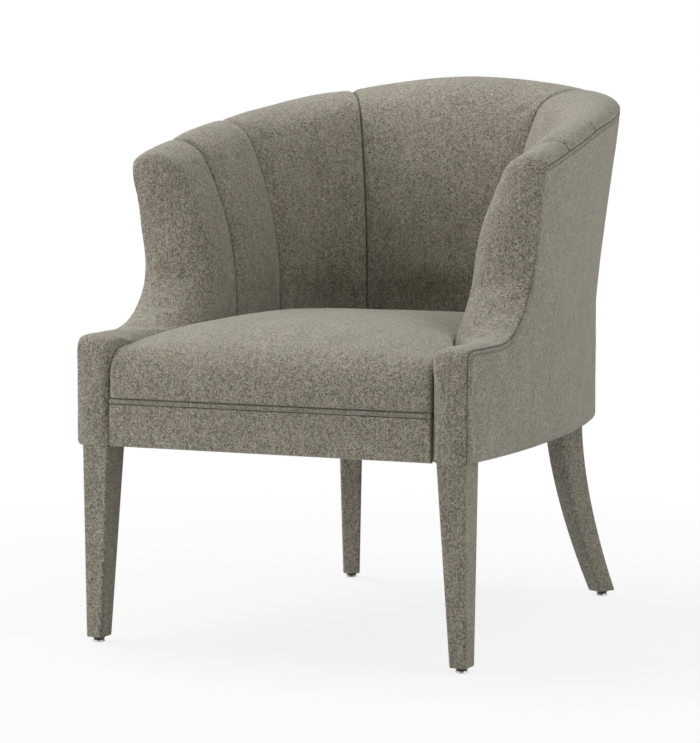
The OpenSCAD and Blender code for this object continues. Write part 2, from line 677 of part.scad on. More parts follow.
module seat_cushion() {
  show = concat(
    [for (r = lip_rows) [for (u = seat_across) [u * seat_x(0), r[0] + 3 * pow(abs(u), 12), r[1]]]],
    [for (y = seat_rows) [for (u = seat_across) [u * seat_x(y), y, seat_top(u, y)]]]
  );
  back = concat(
    [for (r = lip_rows) [for (u = seat_across) [u * seat_x(0), r[2] + 3 * pow(abs(u), 12), r[3]]]],
    [for (y = seat_rows) [for (u = seat_across) [u * seat_x(y), max(y, lip_t + 8), cushion_bottom]]]
  );
  color(cloth) grid_solid(show, back);
}
module seat_foam() {
  rows = steps(lip_t + 10, seat_back - 6, 10);
  function sheet(top) = [for (y = rows) [for (u = [-1, 1])
    [u * (seat_x(y) - 8), y, top ? cushion_bottom - gap : deck_z(y) + deck_t + gap]]];
  color(foam_yellow) grid_solid(sheet(true), sheet(false));
}

// Front band and the band between the double seam
band_half = seat_x(0) - 0.2;
module front_band() {
  top = seam_z - seam_band / 2 - gap;
  profile = [[2, body_bottom], [edge_pad - gap, body_bottom], [edge_pad - gap, top], [0, top],
             [0, body_bottom + 4], [0.6, body_bottom + 1.2]];
  color(cloth) rotate([90, 0, 90]) linear_extrude(2 * band_half, center = true) polygon(profile);
}
module seat_seam_band() {
  color(cloth_dark)
    translate([-band_half, 0.6, seam_z - seam_band / 2])
      cube([2 * band_half, edge_pad - 1.2, seam_band]);
}

// Hardwood frame
module front_rail() {
  half = post_x - gap;
  color(birch) difference() {
    translate([-half, front_rail_y, rail_bottom]) cube([2 * half, rail_t, rail_h]);
    for (p = block_screws) screw_hole(p);
  }
}
// Place along the wall where a side rail meets the back rail
rail_joint = 668;
module side_rail() {
  front_w = back_c - (post_y + post_d + gap);
  places = concat(marks_from(back_c - rail_joint + 0.5, wing_w), steps(wing_w + 62, front_w, 3));
  color(birch) layer_solid(places, [rail_bottom, rail_top], frame_out, rail_in);
}
module side_rail_left() { side("left") side_rail(); }
module side_rail_right() { side("right") side_rail(); }
module back_rail() {
  places = marks_across(back_c - rail_joint - 0.5);
  color(birch) layer_solid(places, [rail_bottom, rail_top], frame_out, rail_in);
}
module front_post() {
  color(birch) difference() {
    translate([post_x, post_y, body_bottom]) cube([post_t, post_d, post_top - body_bottom]);
    translate(concat(front_bolt, [body_bottom - 1])) cylinder(d = bolt_d + 0.4, h = bolt_up + 2);
  }
}
module front_post_left() { side("left") front_post(); }
module front_post_right() { side("right") front_post(); }

// Wing board: a wide shaped board that follows the rim and stands on the post
board_edge = edge_pad + gap;
board_inner = concat([[wing_seam - gap, crest(wing_seam) - board_edge - board_w]],
                     arc_points(sweep_centre, sweep_r + board_edge + board_w, 12, -84, 5),
                     [[post_y + post_d, post_top + gap]]);
board_rim = concat([for (i = [0:post_at - 1]) rim_at(i, board_edge)],
                   [[post_y, mix(toe_centre[1], post_top, 0.5)], [post_y, post_top + gap]]);
function along(path, t) =
  let (k = t * (len(path) - 1), i = min(len(path) - 2, floor(k))) mix(path[i], path[i + 1], k - i);
module wing_board() {
  last = len(board_rim) - 1;
  function rows(depth) = [for (i = [0:last]) [for (t = [0, 0.5, 1])
    let (q = mix(along(board_inner, i / last), board_rim[i], t)) layer(q[0], q[1], depth)]];
  color(birch) grid_solid(rows(frame_out), rows(frame_in));
}
module wing_board_left() { side("left") wing_board(); }
module wing_board_right() { side("right") wing_board(); }
module top_rail() {
  places = marks_across(wing_w - gap);
  color(birch) layer_solid(places, [-board_edge - board_w, -board_edge], frame_out + gap, frame_in);
}
module back_uprights() {
  top = -board_edge - board_w - gap;
  levels = [rail_top + gap, channel_bottom, flare_z, 0.25, 0.5, top];
  half = upright_w / 2;
  corner = [mix(centre_w, outside_w, 2 / 3), outside_w, mix(outside_w, corner_w, 1 / 3)];
  middle = [for (x = [-half, half]) (spring_pitch / 2 + x) * side_w / wall_length(outside_low)];
  color(birch) for (which = ["left", "right"], places = [corner, middle]) side(which)
    layer_solid(places, levels, frame_out + 2 * gap, frame_in);
}

// Corner blocks, screws and bolts
bolt_d = 8;
bolt_up = 44;
bolt_down = 40;
block_h = rail_h - 12;
block_z = rail_bottom + 2;
front_leg_top = body_bottom - gap;
rear_leg_top = rail_bottom - gap;
front_bolt = [front_leg_x - front_leg_w / 2, front_leg_y + front_leg_d / 2];
rear_bolt = [rear_leg_x - 5, rear_leg_y - 8];
block_reach = 56;
block_web = 14;
screw_d = 4.5;
screw_in = 16;
screw_hole_l = 40;
block_screws = [for (s = [-1, 1], z = [0.3, 0.7])
  [s * (post_x - 26), front_rail_y + rail_t, block_z + z * block_h]];
module screw_hole(p) {
  translate([p[0], p[1] - screw_hole_l / 2, p[2]]) rotate([-90, 0, 0])
    cylinder(d = screw_d + 0.2, h = screw_hole_l);
}
module front_block() {
  x = post_x - gap;
  y = front_rail_y + rail_t + gap;
  difference() {
    translate([0, 0, block_z]) linear_extrude(block_h)
      polygon([[x, y], [x - block_reach, y], [x - block_reach, y + block_web], [x, y + block_reach]]);
    for (p = block_screws) if (p[0] > 0) {
      screw_hole(p);
      translate([p[0], y + block_web, p[2]]) rotate([-90, 0, 0]) cylinder(d = 12, h = block_reach);
    }
  }
}
module rear_block() {
  o = outside_low;
  centre = [corner_x(o), o[3] - o[4]];
  difference() {
    translate([0, 0, block_z]) linear_extrude(block_h) intersection() {
      translate(centre) circle(r = o[4] - rail_in - 0.8, $fn = 96);
      translate(centre - [30, 30]) square(100);
    }
    translate(concat(rear_bolt, [rail_bottom - 1])) cylinder(d = bolt_d + 0.4, h = block_h + 20);
  }
}
module corner_blocks() {
  color(birch) for (w = ["left", "right"]) side(w) {
    front_block();
    rear_block();
  }
}
module frame_screws() {
  color(steel) for (p = block_screws)
    translate([p[0], p[1] - screw_in, p[2]]) rotate([-90, 0, 0]) {
      cylinder(d = screw_d, h = screw_in + gap + block_web);
      translate([0, 0, screw_in + gap + block_web]) cylinder(d = 9, h = 3);
    }
}
nut_h = 5.5;
module leg_bolts() {
  rear_up = block_z + block_h + nut_h + 1 - rear_leg_top;
  color(steel) for (w = ["left", "right"]) side(w) {
    translate(concat(front_bolt, [front_leg_top - bolt_down]))
      cylinder(d = bolt_d, h = bolt_down + bolt_up);
    translate(concat(rear_bolt, [rear_leg_top - bolt_down]))
      cylinder(d = bolt_d, h = bolt_down + rear_up);
  }
}
module leg_nuts() {
  color(steel) for (w = ["left", "right"]) side(w)
    translate(concat(rear_bolt, [block_z + block_h])) difference() {
      union() {
        cylinder(d = 20, h = 1.6);
        cylinder(d = 14, h = nut_h, $fn = 6);
      }
      translate([0, 0, -1]) cylinder(d = bolt_d + 0.2, h = 9);
    }
}

// Legs, drawn up to a height and drawn in by the thickness of a skin
function leg_level(z) = (z - leg_bottom) / (body_bottom - leg_bottom);
// A face's place at height z, from its place at the foot to its place at the top
function taper(foot, top, z) = mix(foot, top, leg_level(z));
// Front leg: the outer face stands straight, the other three taper
module front_leg_solid(skin) {
  z0 = leg_bottom;
  z1 = front_leg_top;
  foot_x = front_leg_x - front_foot_w;
  intersection() {
    rotate([90, 0, 0]) translate([0, 0, -100]) linear_extrude(100) polygon([
      [foot_x + skin, z0], [front_leg_x - skin, z0], [front_leg_x - skin, z1],
      [taper(foot_x, front_leg_x - front_leg_w, z1) + skin, z1]
    ]);
    rotate([90, 0, 90]) linear_extrude(400) polygon([
      [front_foot_y + skin, z0], [front_foot_y + front_foot_d - skin, z0],
      [taper(front_foot_y + front_foot_d, front_leg_y + front_leg_d, z1) - skin, z1],
      [taper(front_foot_y, front_leg_y, z1) + skin, z1]
    ]);
  }
}
// Rear leg: a sabre leg that sweeps back and out
function sabre(z) = rear_sweep * pow(max(0, 1 - leg_level(z)), 1.6);
module rear_leg_solid(skin, top) {
  levels = concat(steps(leg_bottom, front_leg_top, 9), top > front_leg_top ? [top] : []);
  n = len(levels) - 1;
  function half_d(z) = taper(rear_foot_d, rear_leg_d, z) / 2 - skin;
  half_w = taper(rear_foot_w, rear_leg_w, top) / 2 - skin;
  translate([rear_leg_x, rear_leg_y, 0]) rotate([0, 0, -rear_turn]) intersection() {
    rotate([90, 0, 90]) linear_extrude(120, center = true) polygon(concat(
      [for (z = levels) [sabre(z) + half_d(z), z]],
      [for (i = [n:-1:0]) let (z = levels[i]) [sabre(z) - half_d(z), z]]
    ));
    rotate([90, 0, 0]) translate([0, 0, -180]) linear_extrude(260) polygon([
      [-rear_foot_w / 2 + skin, leg_bottom], [rear_foot_w / 2 - skin, leg_bottom],
      [half_w, top], [-half_w, top]
    ]);
  }
}
front_foot = [front_leg_x - front_foot_w / 2, front_foot_y + front_foot_d / 2];
rear_foot = [rear_leg_x, rear_leg_y] + rear_sweep * [sin(rear_turn), cos(rear_turn)];
stem_l = glide_travel + stem_grip;
socket_l = stem_l + 4;
core_skin = sleeve_t + 0.1;
module leg_bores(foot, bolt, top) {
  translate(concat(foot, [leg_bottom - 1])) cylinder(d = socket_d + 0.1, h = socket_l + 1);
  translate(concat(bolt, [top - bolt_down - 1])) cylinder(d = bolt_d + 0.1, h = bolt_down + 2);
}
module front_leg() {
  color(birch) difference() {
    front_leg_solid(core_skin);
    leg_bores(front_foot, front_bolt, front_leg_top);
  }
}
module rear_leg() {
  color(birch) difference() {
    rear_leg_solid(core_skin, rear_leg_top);
    leg_bores(rear_foot, rear_bolt, rear_leg_top);
  }
}
module front_leg_left() { side("left") front_leg(); }
module front_leg_right() { side("right") front_leg(); }
module rear_leg_left() { side("left") rear_leg(); }
module rear_leg_right() { side("right") rear_leg(); }
module front_leg_cover() {
  color(cloth) difference() {
    front_leg_solid(0);
    front_leg_solid(sleeve_t);
  }
}
module rear_leg_cover() {
  color(cloth) difference() {
    rear_leg_solid(0, front_leg_top);
    rear_leg_solid(sleeve_t, front_leg_top);
  }
}
module front_leg_cover_left() { side("left") front_leg_cover(); }
module front_leg_cover_right() { side("right") front_leg_cover(); }
module rear_leg_cover_left() { side("left") rear_leg_cover(); }
module rear_leg_cover_right() { side("right") rear_leg_cover(); }

// Levelling glides in threaded sockets
feet = [front_foot, rear_foot];
collar_z = glide_h + 0.5;
collar_h = leg_bottom - 0.3 - collar_z;
module glide_sockets() {
  color(black_nylon) for (w = ["left", "right"], foot = feet) side(w)
    translate(foot) difference() {
      union() {
        translate([0, 0, collar_z]) cylinder(d1 = collar_d - 2, d2 = collar_d, h = collar_h);
        translate([0, 0, collar_z + collar_h - 0.1]) cylinder(d = socket_d, h = socket_l);
      }
      translate([0, 0, glide_h]) cylinder(d = stem_d + 2 * stem_gap, h = socket_l);
    }
}
module glide(foot) {
  color(steel) translate(foot) rotate_extrude() polygon([
    [0, 0], [glide_d / 2 - 1.6, 0], [glide_d / 2, 1.2], [glide_d / 2 - 1, glide_h - 0.8],
    [stem_d / 2 + 1.5, glide_h], [stem_d / 2, glide_h], [stem_d / 2, glide_h + stem_l],
    [0, glide_h + stem_l]
  ]);
}
module glide_front_left() { side("left") glide(front_foot); }
module glide_front_right() { side("right") glide(front_foot); }
module glide_rear_left() { side("left") glide(rear_foot); }
module glide_rear_right() { side("right") glide(rear_foot); }

// Dust cover stapled under the rails, cut round the legs
module dust_cover() {
  inset = outside_pad + 8;
  half = [for (c = concat(steps(20, side_y, 8), steps(side_y + 50, back_c, 10)))
    let (p = layer(c, body_bottom, inset)) [p[0], p[1]]];
  other = [for (i = [len(half) - 2:-1:0]) [-half[i][0], half[i][1]]];
  color(black_cloth) translate([0, 0, rail_bottom - gap - dust_t]) difference() {
    linear_extrude(dust_t) polygon(concat(half, other));
    for (w = ["left", "right"]) side(w) {
      translate([post_x - 8, -10, -1]) cube([100, post_y + post_d + 12, 4]);
      translate([rear_leg_x, rear_leg_y, -1]) rotate([0, 0, -rear_turn])
        translate([-rear_leg_w / 2 - 2, -rear_leg_d / 2 - 2, 0]) cube([100, 100, 4]);
    }
  }
}

// Everything is drawn from the front plane, and stands centred on the origin
rear_most = rear_foot[1] + (rear_foot_d * cos(rear_turn) + rear_foot_w * sin(rear_turn)) / 2;
front_most = min([for (p = section_show(rim_at(rim_last, 0), rim_inward(rim_last),
                                        start_inward(rim_last), post_roll_in, front_roll_out,
                                        facing_places(rim_last))) p[1]]);
middle_y = (rear_most + front_most) / 2;
module centred() { translate([0, -middle_y, 0]) children(); }

centred() front_rail();
centred() side_rail_left();
centred() side_rail_right();
centred() back_rail();
centred() corner_blocks();
centred() front_post_left();
centred() front_post_right();
centred() wing_board_left();
centred() wing_board_right();
centred() top_rail();
centred() back_uprights();
centred() frame_screws();
centred() seat_springs();
centred() spring_clips();
centred() seat_deck();
centred() seat_foam();
centred() seat_cushion();
centred() front_band();
centred() seat_seam_band();
centred() back_channel_centre();
centred() back_channel_left();
centred() back_channel_right();
centred() side_channel_left();
centred() side_channel_right();
centred() arm_facing_left();
centred() arm_facing_right();
centred() outside_arm_left();
centred() outside_arm_right();
centred() outside_back();
centred() dust_cover();
centred() front_leg_left();
centred() front_leg_right();
centred() rear_leg_left();
centred() rear_leg_right();
centred() front_leg_cover_left();
centred() front_leg_cover_right();
centred() rear_leg_cover_left();
centred() rear_leg_cover_right();
centred() leg_bolts();
centred() leg_nuts();
centred() glide_sockets();
centred() glide_front_left();
centred() glide_front_right();
centred() glide_rear_left();
centred() glide_rear_right();
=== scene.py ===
# %% [markdown]
# # An accent chair with a channelled barrel back
#
# This script dresses a finished CAD model. The CAD holds every real size, so each
# surface here is worked out from the same numbers, only finer: a fabric cover has
# soft rolls, drawn-in seams and stitches that a plain solid doesn't need.

# %% Load the fixed frame
import math

import bmesh
import bpy
import numpy as np
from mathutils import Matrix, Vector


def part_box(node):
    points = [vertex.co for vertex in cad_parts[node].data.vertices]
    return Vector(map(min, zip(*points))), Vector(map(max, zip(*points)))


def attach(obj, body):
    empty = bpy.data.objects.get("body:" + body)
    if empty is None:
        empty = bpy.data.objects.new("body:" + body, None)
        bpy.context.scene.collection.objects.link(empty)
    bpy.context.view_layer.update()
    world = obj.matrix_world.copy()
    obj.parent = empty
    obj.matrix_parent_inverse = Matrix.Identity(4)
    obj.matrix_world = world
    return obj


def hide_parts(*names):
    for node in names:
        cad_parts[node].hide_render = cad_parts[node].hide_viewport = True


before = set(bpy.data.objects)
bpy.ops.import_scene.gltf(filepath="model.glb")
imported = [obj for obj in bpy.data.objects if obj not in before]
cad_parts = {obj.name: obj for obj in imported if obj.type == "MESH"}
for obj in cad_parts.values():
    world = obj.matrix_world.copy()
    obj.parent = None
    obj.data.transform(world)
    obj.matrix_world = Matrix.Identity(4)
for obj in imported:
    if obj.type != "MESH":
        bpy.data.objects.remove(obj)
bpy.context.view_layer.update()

# %% [markdown]
# ## The chair's sizes
#
# The shell is a wall between two outlines, one outside and one inside. Each outline is
# a bowed side, a rounded rear corner and a flat back, and it grows from the seat up to
# the crest. All lengths are millimetres, measured from the front of the seat, and they
# become metres only when a mesh is made.

# %% Sizes of the shell
# An outline is (half width, its distance from the front, side radius, back, corner radius)
OUTSIDE_LOW = (309, 140, 1890, 711, 80)
OUTSIDE_TOP = (333, 220, 1920, 742, 160)
INSIDE_LOW = (208, 270, 1700, 580, 130)
INSIDE_TOP = (280, 220, 1920, 668, 210)
CREST_Z, WING_Z, CREST_FALL, CREST_EASE = 820, 703, 1.35, 60
BODY_BOTTOM, FLARE_Z = 288, 470
OUTSIDE_FLARE, INSIDE_FLARE = 1.2, 2.2
TOE_HALF, TOE_REACH, ARM_FULL_Y = 252, 60, 205
SIDE_Y, BACK_C = 450, 1000
WING_FRONT_Y = 207
SEAM_GAP = 0.2
COVER_T, PANEL_T = 8, 5
ROLL_IN, ROLL_OUT = 35, 19
SWEEP_ROLL_IN, TOE_ROLL_IN, POST_ROLL_IN, FRONT_ROLL_OUT = 30, 24, 10, 5
CORNER_C, CORNER_SPAN, CORNER_DROP = 600, 85, 5
CHANNEL_BOTTOM = 412

# The front band's face is the plane that the distances are measured from
MIDDLE_Y = -1000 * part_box("front_band")[0].y
BODY = "chair"


def to_metres(points):
    """Millimetres from the front plane to metres in the frame."""
    return (np.asarray(points, float) - [0, MIDDLE_Y, 0]) * 0.001


# %% Small helpers for arrays
def mix(a, b, t):
    """A value a share t of the way from a to b."""
    return a + (b - a) * t


def smooth(t):
    """Rises from 0 to 1 with a level start and end: 3t^2 - 2t^3."""
    t = np.clip(t, 0, 1)
    return t * t * (3 - 2 * t)


def unit(v):
    """Vectors of the same direction and length 1."""
    return v / np.maximum(np.linalg.norm(v, axis=-1, keepdims=True), 1e-9)


def point(x, y, z):
    """Three arrays, broadcast against each other, as one array of points."""
    return np.stack(np.broadcast_arrays(x, y, z), axis=-1).astype(float)


def spaced(length, coarse, edge=4.0, fine=0.6):
    """Distances from 0 to length: steps of about fine within edge of both ends, coarse between."""
    rim = np.linspace(0, edge, int(edge / fine) + 1)
    middle = np.linspace(edge, length - edge, max(2, int((length - 2 * edge) / coarse)) + 1)
    return np.concatenate([rim[:-1], middle, length - rim[::-1][1:]])


# %% [markdown]
# ## The wall's two faces
#
# A place `c` on the wall is simply the distance from the front as far as 450 mm. From
# there it runs round the corner at an even pace and ends with 1000 at the middle of the
# back. With a height `z` it names one point of either face, so seams and channels that
# are straight in `c` and `z` follow the bend by themselves.

# %% Outlines and faces
def corner_of(outline):
    """Angle at which an outline's side meets its corner, and half the width of its flat back."""
    half, widest_y, side_r, back_y, corner_r = outline
    turn = np.arcsin((back_y - corner_r - widest_y) / (side_r - corner_r))
    return turn, half - side_r + (side_r - corner_r) * np.cos(turn)


def outline_point(outline, c):
    """x and y of an outline at c: the side's arc, then the corner's arc, then the flat back."""
    half, widest_y, side_r, back_y, corner_r = outline
    turn, corner_x = corner_of(outline)
    corner_length = corner_r * (np.pi / 2 - turn)
    side_turn = np.arcsin((SIDE_Y - widest_y) / side_r)
    length = corner_x + corner_length + side_r * (turn - side_turn)
    s = (BACK_C - c) / (BACK_C - SIDE_Y) * length
    a = np.pi / 2 - (s - corner_x) / corner_r
    b = turn - (s - corner_x - corner_length) / side_r
    on_side, on_back, on_corner = c <= SIDE_Y, s <= corner_x, s <= corner_x + corner_length
    side_x = half - side_r + np.sqrt(side_r**2 - (np.minimum(c, SIDE_Y) - widest_y) ** 2)
    x = np.where(on_back, s, np.where(on_corner, corner_x + corner_r * np.cos(a),
                                      half - side_r + side_r * np.cos(b)))
    y = np.where(on_back, back_y, np.where(on_corner, back_y - corner_r + corner_r * np.sin(a),
                                           widest_y + side_r * np.sin(b)))
    return np.where(on_side, side_x, x), np.where(on_side, c, y)


def between(low, top, t):
    """The five sizes of an outline, a share t of the way from low to top."""
    return [mix(a, b, t) for a, b in zip(low, top)]


def wall_length(outline):
    """Length of the outline from the middle of the back to SIDE_Y."""
    half, widest_y, side_r, back_y, corner_r = outline
    turn, corner_x = corner_of(outline)
    side_turn = np.arcsin((SIDE_Y - widest_y) / side_r)
    return corner_x + corner_r * (np.pi / 2 - turn) + side_r * (turn - side_turn)


RIDGE_LENGTH = wall_length(between(INSIDE_TOP, OUTSIDE_TOP, 0.5))


def crest(c):
    """Height of the crest: it falls with the path run from the middle of the back."""
    path = np.where(c <= SIDE_Y, RIDGE_LENGTH + SIDE_Y - c,
                    RIDGE_LENGTH * (BACK_C - c) / (BACK_C - SIDE_Y))
    full = RIDGE_LENGTH + SIDE_Y - WING_FRONT_Y
    # The ease rounds the top of the curve, which a bare power would leave pointed
    fall = (path**2 + CREST_EASE**2) ** (CREST_FALL / 2) - CREST_EASE**CREST_FALL
    whole = (full**2 + CREST_EASE**2) ** (CREST_FALL / 2) - CREST_EASE**CREST_FALL
    return CREST_Z - (CREST_Z - WING_Z) * np.minimum(1, fall / whole)


def bell(at, middle, height, width):
    """A bell curve: height at its middle, and a third of that a width away from it."""
    return height * np.exp(-(((at - middle) / width) ** 2))


def corner_bump(c):
    """1 at the rear corner of the wall and 0 away from it."""
    return bell(c, CORNER_C, 1, CORNER_SPAN)


def roll_out(c):
    """Depth of the outer seam under the crest: the cover is drawn further down at the corner."""
    return ROLL_OUT + CORNER_DROP * corner_bump(c)


def lean(c, z, power):
    """Share of the way from the low outline to the crest's outline."""
    rise = crest(np.maximum(c, WING_FRONT_Y)) - FLARE_Z
    return (np.maximum(0, z - FLARE_Z) / rise) ** power


def outer(c, z):
    """Point of the outside face."""
    x, y = outline_point(between(OUTSIDE_LOW, OUTSIDE_TOP, lean(c, z, OUTSIDE_FLARE)), c)
    return point(x, y, z)


def relief(c):
    """How far the inside face steps out toward the toe, where the arm is narrow."""
    low_x = outline_point(INSIDE_LOW, np.minimum(c, ARM_FULL_Y))[0]
    share = 1 - smooth((c - TOE_REACH) / (ARM_FULL_Y - TOE_REACH))
    return np.where(c >= ARM_FULL_Y, 0, (TOE_HALF - low_x) * share)


def inner(c, z):
    """Point of the inside face."""
    x, y = outline_point(between(INSIDE_LOW, INSIDE_TOP, lean(c, z, INSIDE_FLARE)), c)
    return point(x + relief(c), y, z)


def outward(c, z):
    """Level direction from the inside face to the outside face."""
    d = outer(c, z) - inner(c, z)
    d[..., 2] = 0
    return unit(d)


print("Crest at the back, corner and wing:", np.round(crest(np.array([1000, 640, 231])), 1))

# %% [markdown]
# ## Surfaces from two grids
#
# Each cover is a closed shell: a grid of points that shows, a second grid just behind
# it, and strips that join their edges. Where a cover runs into a seam, the show surface
# turns down toward the hidden one on a quarter of an ellipse, and a point attribute
# tells the tweed where to darken a little: painted shade at the bottom of the seam.

# %% Closed shells
def add_object(name, data):
    """A new object in the scene for a mesh, a camera or a lamp."""
    made = bpy.data.objects.new(name, data)
    bpy.context.scene.collection.objects.link(made)
    return made


def grid_quads(rows, columns, wrap=False):
    """Corner numbers of the quads of a grid, joined round if wrap."""
    i, j = np.meshgrid(np.arange(rows - 1), np.arange(columns - (0 if wrap else 1)), indexing="ij")
    k = (j + 1) % columns
    return np.stack([i * columns + j, i * columns + k, (i + 1) * columns + k,
                     (i + 1) * columns + j], axis=-1).reshape(-1, 4)


def shell_faces(rows, columns, wrap=False):
    """Quads of the show grid, of the hidden grid and of the strips that join their edges."""
    size = rows * columns
    front = grid_quads(rows, columns, wrap)
    i, j = np.arange(rows - 1), np.arange(columns - (0 if wrap else 1))
    k = (j + 1) % columns
    last = (rows - 1) * columns
    strips = [np.stack([j, size + j, size + k, k], axis=-1),
              np.stack([last + j, last + k, size + last + k, size + last + j], axis=-1)]
    if not wrap:
        a, b = i * columns, (i + 1) * columns
        end = columns - 1
        strips += [np.stack([a, b, size + b, size + a], axis=-1),
                   np.stack([a + end, size + a + end, size + b + end, b + end], axis=-1)]
    return np.concatenate([front, front[:, ::-1] + size] + strips)


def make_mesh(name, points, faces, dark=None):
    """A mesh object from arrays of points, in millimetres, and quads.

    dark, the painted shade of the seams, is kept as a point attribute, which the tweed reads.
    """
    mesh = bpy.data.meshes.new(name)
    mesh.vertices.add(len(points))
    mesh.vertices.foreach_set("co", to_metres(points).astype(np.float32).ravel())
    mesh.loops.add(faces.size)
    mesh.loops.foreach_set("vertex_index", faces.astype(np.int32).ravel())
    mesh.polygons.add(len(faces))
    mesh.polygons.foreach_set("loop_start", np.arange(0, faces.size, 4, dtype=np.int32))
    mesh.polygons.foreach_set("loop_total", np.full(len(faces), 4, dtype=np.int32))
    mesh.update(calc_edges=True)
    if dark is not None:
        layer = mesh.attributes.new("painted_seam_shade", "FLOAT", "POINT")
        layer.data.foreach_set("value", dark.astype(np.float32))
    work = bmesh.new()
    work.from_mesh(mesh)
    bmesh.ops.remove_doubles(work, verts=work.verts, dist=2e-6)
    bmesh.ops.dissolve_degenerate(work, edges=work.edges, dist=1e-6)
    bmesh.ops.recalc_face_normals(work, faces=work.faces)
    work.to_mesh(mesh)
    work.free()
    mesh.shade_smooth()
    mesh.set_sharp_from_angle(angle=math.radians(55))
    return add_object(name, mesh)


def make_shell(name, show, hidden, dark=0.0, wrap=False):
    """A closed shell from its show grid, its hidden grid and the painted shade of its seams."""
    rows, columns = show.shape[:2]
    points = np.concatenate([show.reshape(-1, 3), hidden.reshape(-1, 3)])
    dark = np.broadcast_to(dark, show.shape[:2]).ravel()
    return make_mesh(name, points, shell_faces(rows, columns, wrap), np.tile(dark, 2))


# %% Seams and soft surfaces
def turned_down(distance, radius, depth):
    """How deep an edge has turned down at a distance from it: a quarter of an ellipse."""
    near = np.clip(1 - distance / radius, 0, 1)
    return depth * (1 - np.sqrt(1 - near**2))


def pull_in(show, hidden, distance, radius, depth=None):
    """Turns the show grid down toward the hidden grid near a seam."""
    drop = turned_down(distance, radius, radius if depth is None else depth)
    return show + unit(hidden - show) * drop[..., None]


def painted_seam_shade(*distances, reach=1.9):
    """Painted shade of the seams: 1 in the nearest seam, and 0 from reach away."""
    return np.clip(1 - np.minimum.reduce(np.broadcast_arrays(*distances)) / reach, 0, 1)


def run(grid, axis, from_end=False):
    """Length along a grid line from its start, or from its end."""
    step = np.linalg.norm(np.diff(grid, axis=axis), axis=-1)
    length = np.cumsum(step, axis=axis)
    start = np.zeros_like(np.take(length, [0], axis=axis))
    length = np.concatenate([start, length], axis=axis)
    return np.take(length, [-1], axis=axis) - length if from_end else length


WAVES = [(0.071, 0.031, 0.052, 0.4), (-0.043, 0.082, 0.021, 1.9), (0.022, -0.061, 0.094, 3.1),
         (0.118, 0.064, -0.037, 5.2), (-0.086, 0.027, 0.125, 0.9), (0.031, 0.139, 0.066, 2.6)]


def unevenness(points):
    """Gentle swells of cloth over padding, from -1 to 1: a sum of six slanting sine waves."""
    total = sum(np.sin(points @ np.array(wave[:3]) + wave[3]) for wave in WAVES)
    return total / len(WAVES)


def soften(show, hidden, height):
    """Lifts and lowers the show grid by the unevenness, away from the hidden grid."""
    return show - unit(hidden - show) * (height * unevenness(show))[..., None]


# %% [markdown]
# ## The tweed
#
# The cover is a nubby wool tweed: knots of yarn under 2 mm across in two greys, with a
# few rust and olive flecks. One node group makes its colour, height and roughness
# from the object's own coordinates, so the cloth has one scale on every piece, and no
# seam in the pattern shows. Cells give the knots, a finer noise the fibres on them.

# %% Node helpers
def socket_out(tree, kind, inputs, values=None, **settings):
    """A new node with its settings, linked inputs and typed values."""
    node = tree.nodes.new(kind)
    for key, value in settings.items():
        setattr(node, key, value)
    for key, value in (values or {}).items():
        node.inputs[key].default_value = value
    for key, source in inputs.items():
        tree.links.new(source, node.inputs[key])
    return node


def maths(tree, operation, a, b=None, clamp=False):
    """One Math node on two inputs, each a socket or a number."""
    node = tree.nodes.new("ShaderNodeMath")
    node.operation = operation
    node.use_clamp = clamp
    for place, value in enumerate(x for x in (a, b) if x is not None):
        if isinstance(value, (int, float)):
            node.inputs[place].default_value = value
        else:
            tree.links.new(value, node.inputs[place])
    return node.outputs[0]


def blend_colours(tree, share, a, b):
    """Mix of two colours, each a socket or an RGB value, by a share."""
    node = tree.nodes.new("ShaderNodeMix")
    node.data_type = "RGBA"
    for key, value in ((0, share), (6, a), (7, b)):
        if isinstance(value, (int, float)):
            node.inputs[key].default_value = value
        elif isinstance(value, tuple):
            node.inputs[key].default_value = (*value, 1)
        else:
            tree.links.new(value, node.inputs[key])
    return node.outputs[2]


def vector_step(tree, operation, a, b):
    """One Vector Math node on a socket and a socket, a number or three numbers."""
    node = tree.nodes.new("ShaderNodeVectorMath")
    node.operation = operation
    tree.links.new(a, node.inputs[0])
    place = node.inputs["Scale"] if operation == "SCALE" else node.inputs[1]
    if isinstance(b, bpy.types.NodeSocket):
        tree.links.new(b, place)
    else:
        place.default_value = b
    return node.outputs[0]


def noise_of(tree, vector, scale, detail, roughness=0.5):
    """The grey of a Noise node."""
    node = socket_out(tree, "ShaderNodeTexNoise", {"Vector": vector},
                      {"Scale": scale, "Detail": detail, "Roughness": roughness})
    return node.outputs["Fac"]


def spread(tree, value, low, high, to_low=0.0, to_high=1.0):
    """A value stretched from the range low to high onto another, and held inside it."""
    node = socket_out(tree, "ShaderNodeMapRange", {"Value": value},
                      {"From Min": low, "From Max": high, "To Min": to_low, "To Max": to_high})
    return node.outputs[0]


def new_group(name, inputs, outputs):
    """An empty node group with named sockets."""
    group = bpy.data.node_groups.new(name, "ShaderNodeTree")
    for label, kind, value in inputs:
        made = group.interface.new_socket(name=label, in_out="INPUT", socket_type=kind)
        if value is not None:
            made.default_value = value
    for label, kind in outputs:
        group.interface.new_socket(name=label, in_out="OUTPUT", socket_type=kind)
    return group, group.nodes.new("NodeGroupInput"), group.nodes.new("NodeGroupOutput")


# %% The tweed's node group
tweed, tweed_in, tweed_out = new_group(
    "nubby_tweed",
    [("Vector", "NodeSocketVector", None), ("Light yarn", "NodeSocketColor", (0.4, 0.38, 0.33, 1)),
     ("Dark yarn", "NodeSocketColor", (0.15, 0.14, 0.11, 1)), ("Nubs per metre", "NodeSocketFloat", 600.0),
     ("Flecks", "NodeSocketFloat", 0.05), ("Seam", "NodeSocketFloat", 0.0)],
    [("Color", "NodeSocketColor"), ("Roughness", "NodeSocketFloat"), ("Height", "NodeSocketFloat")])


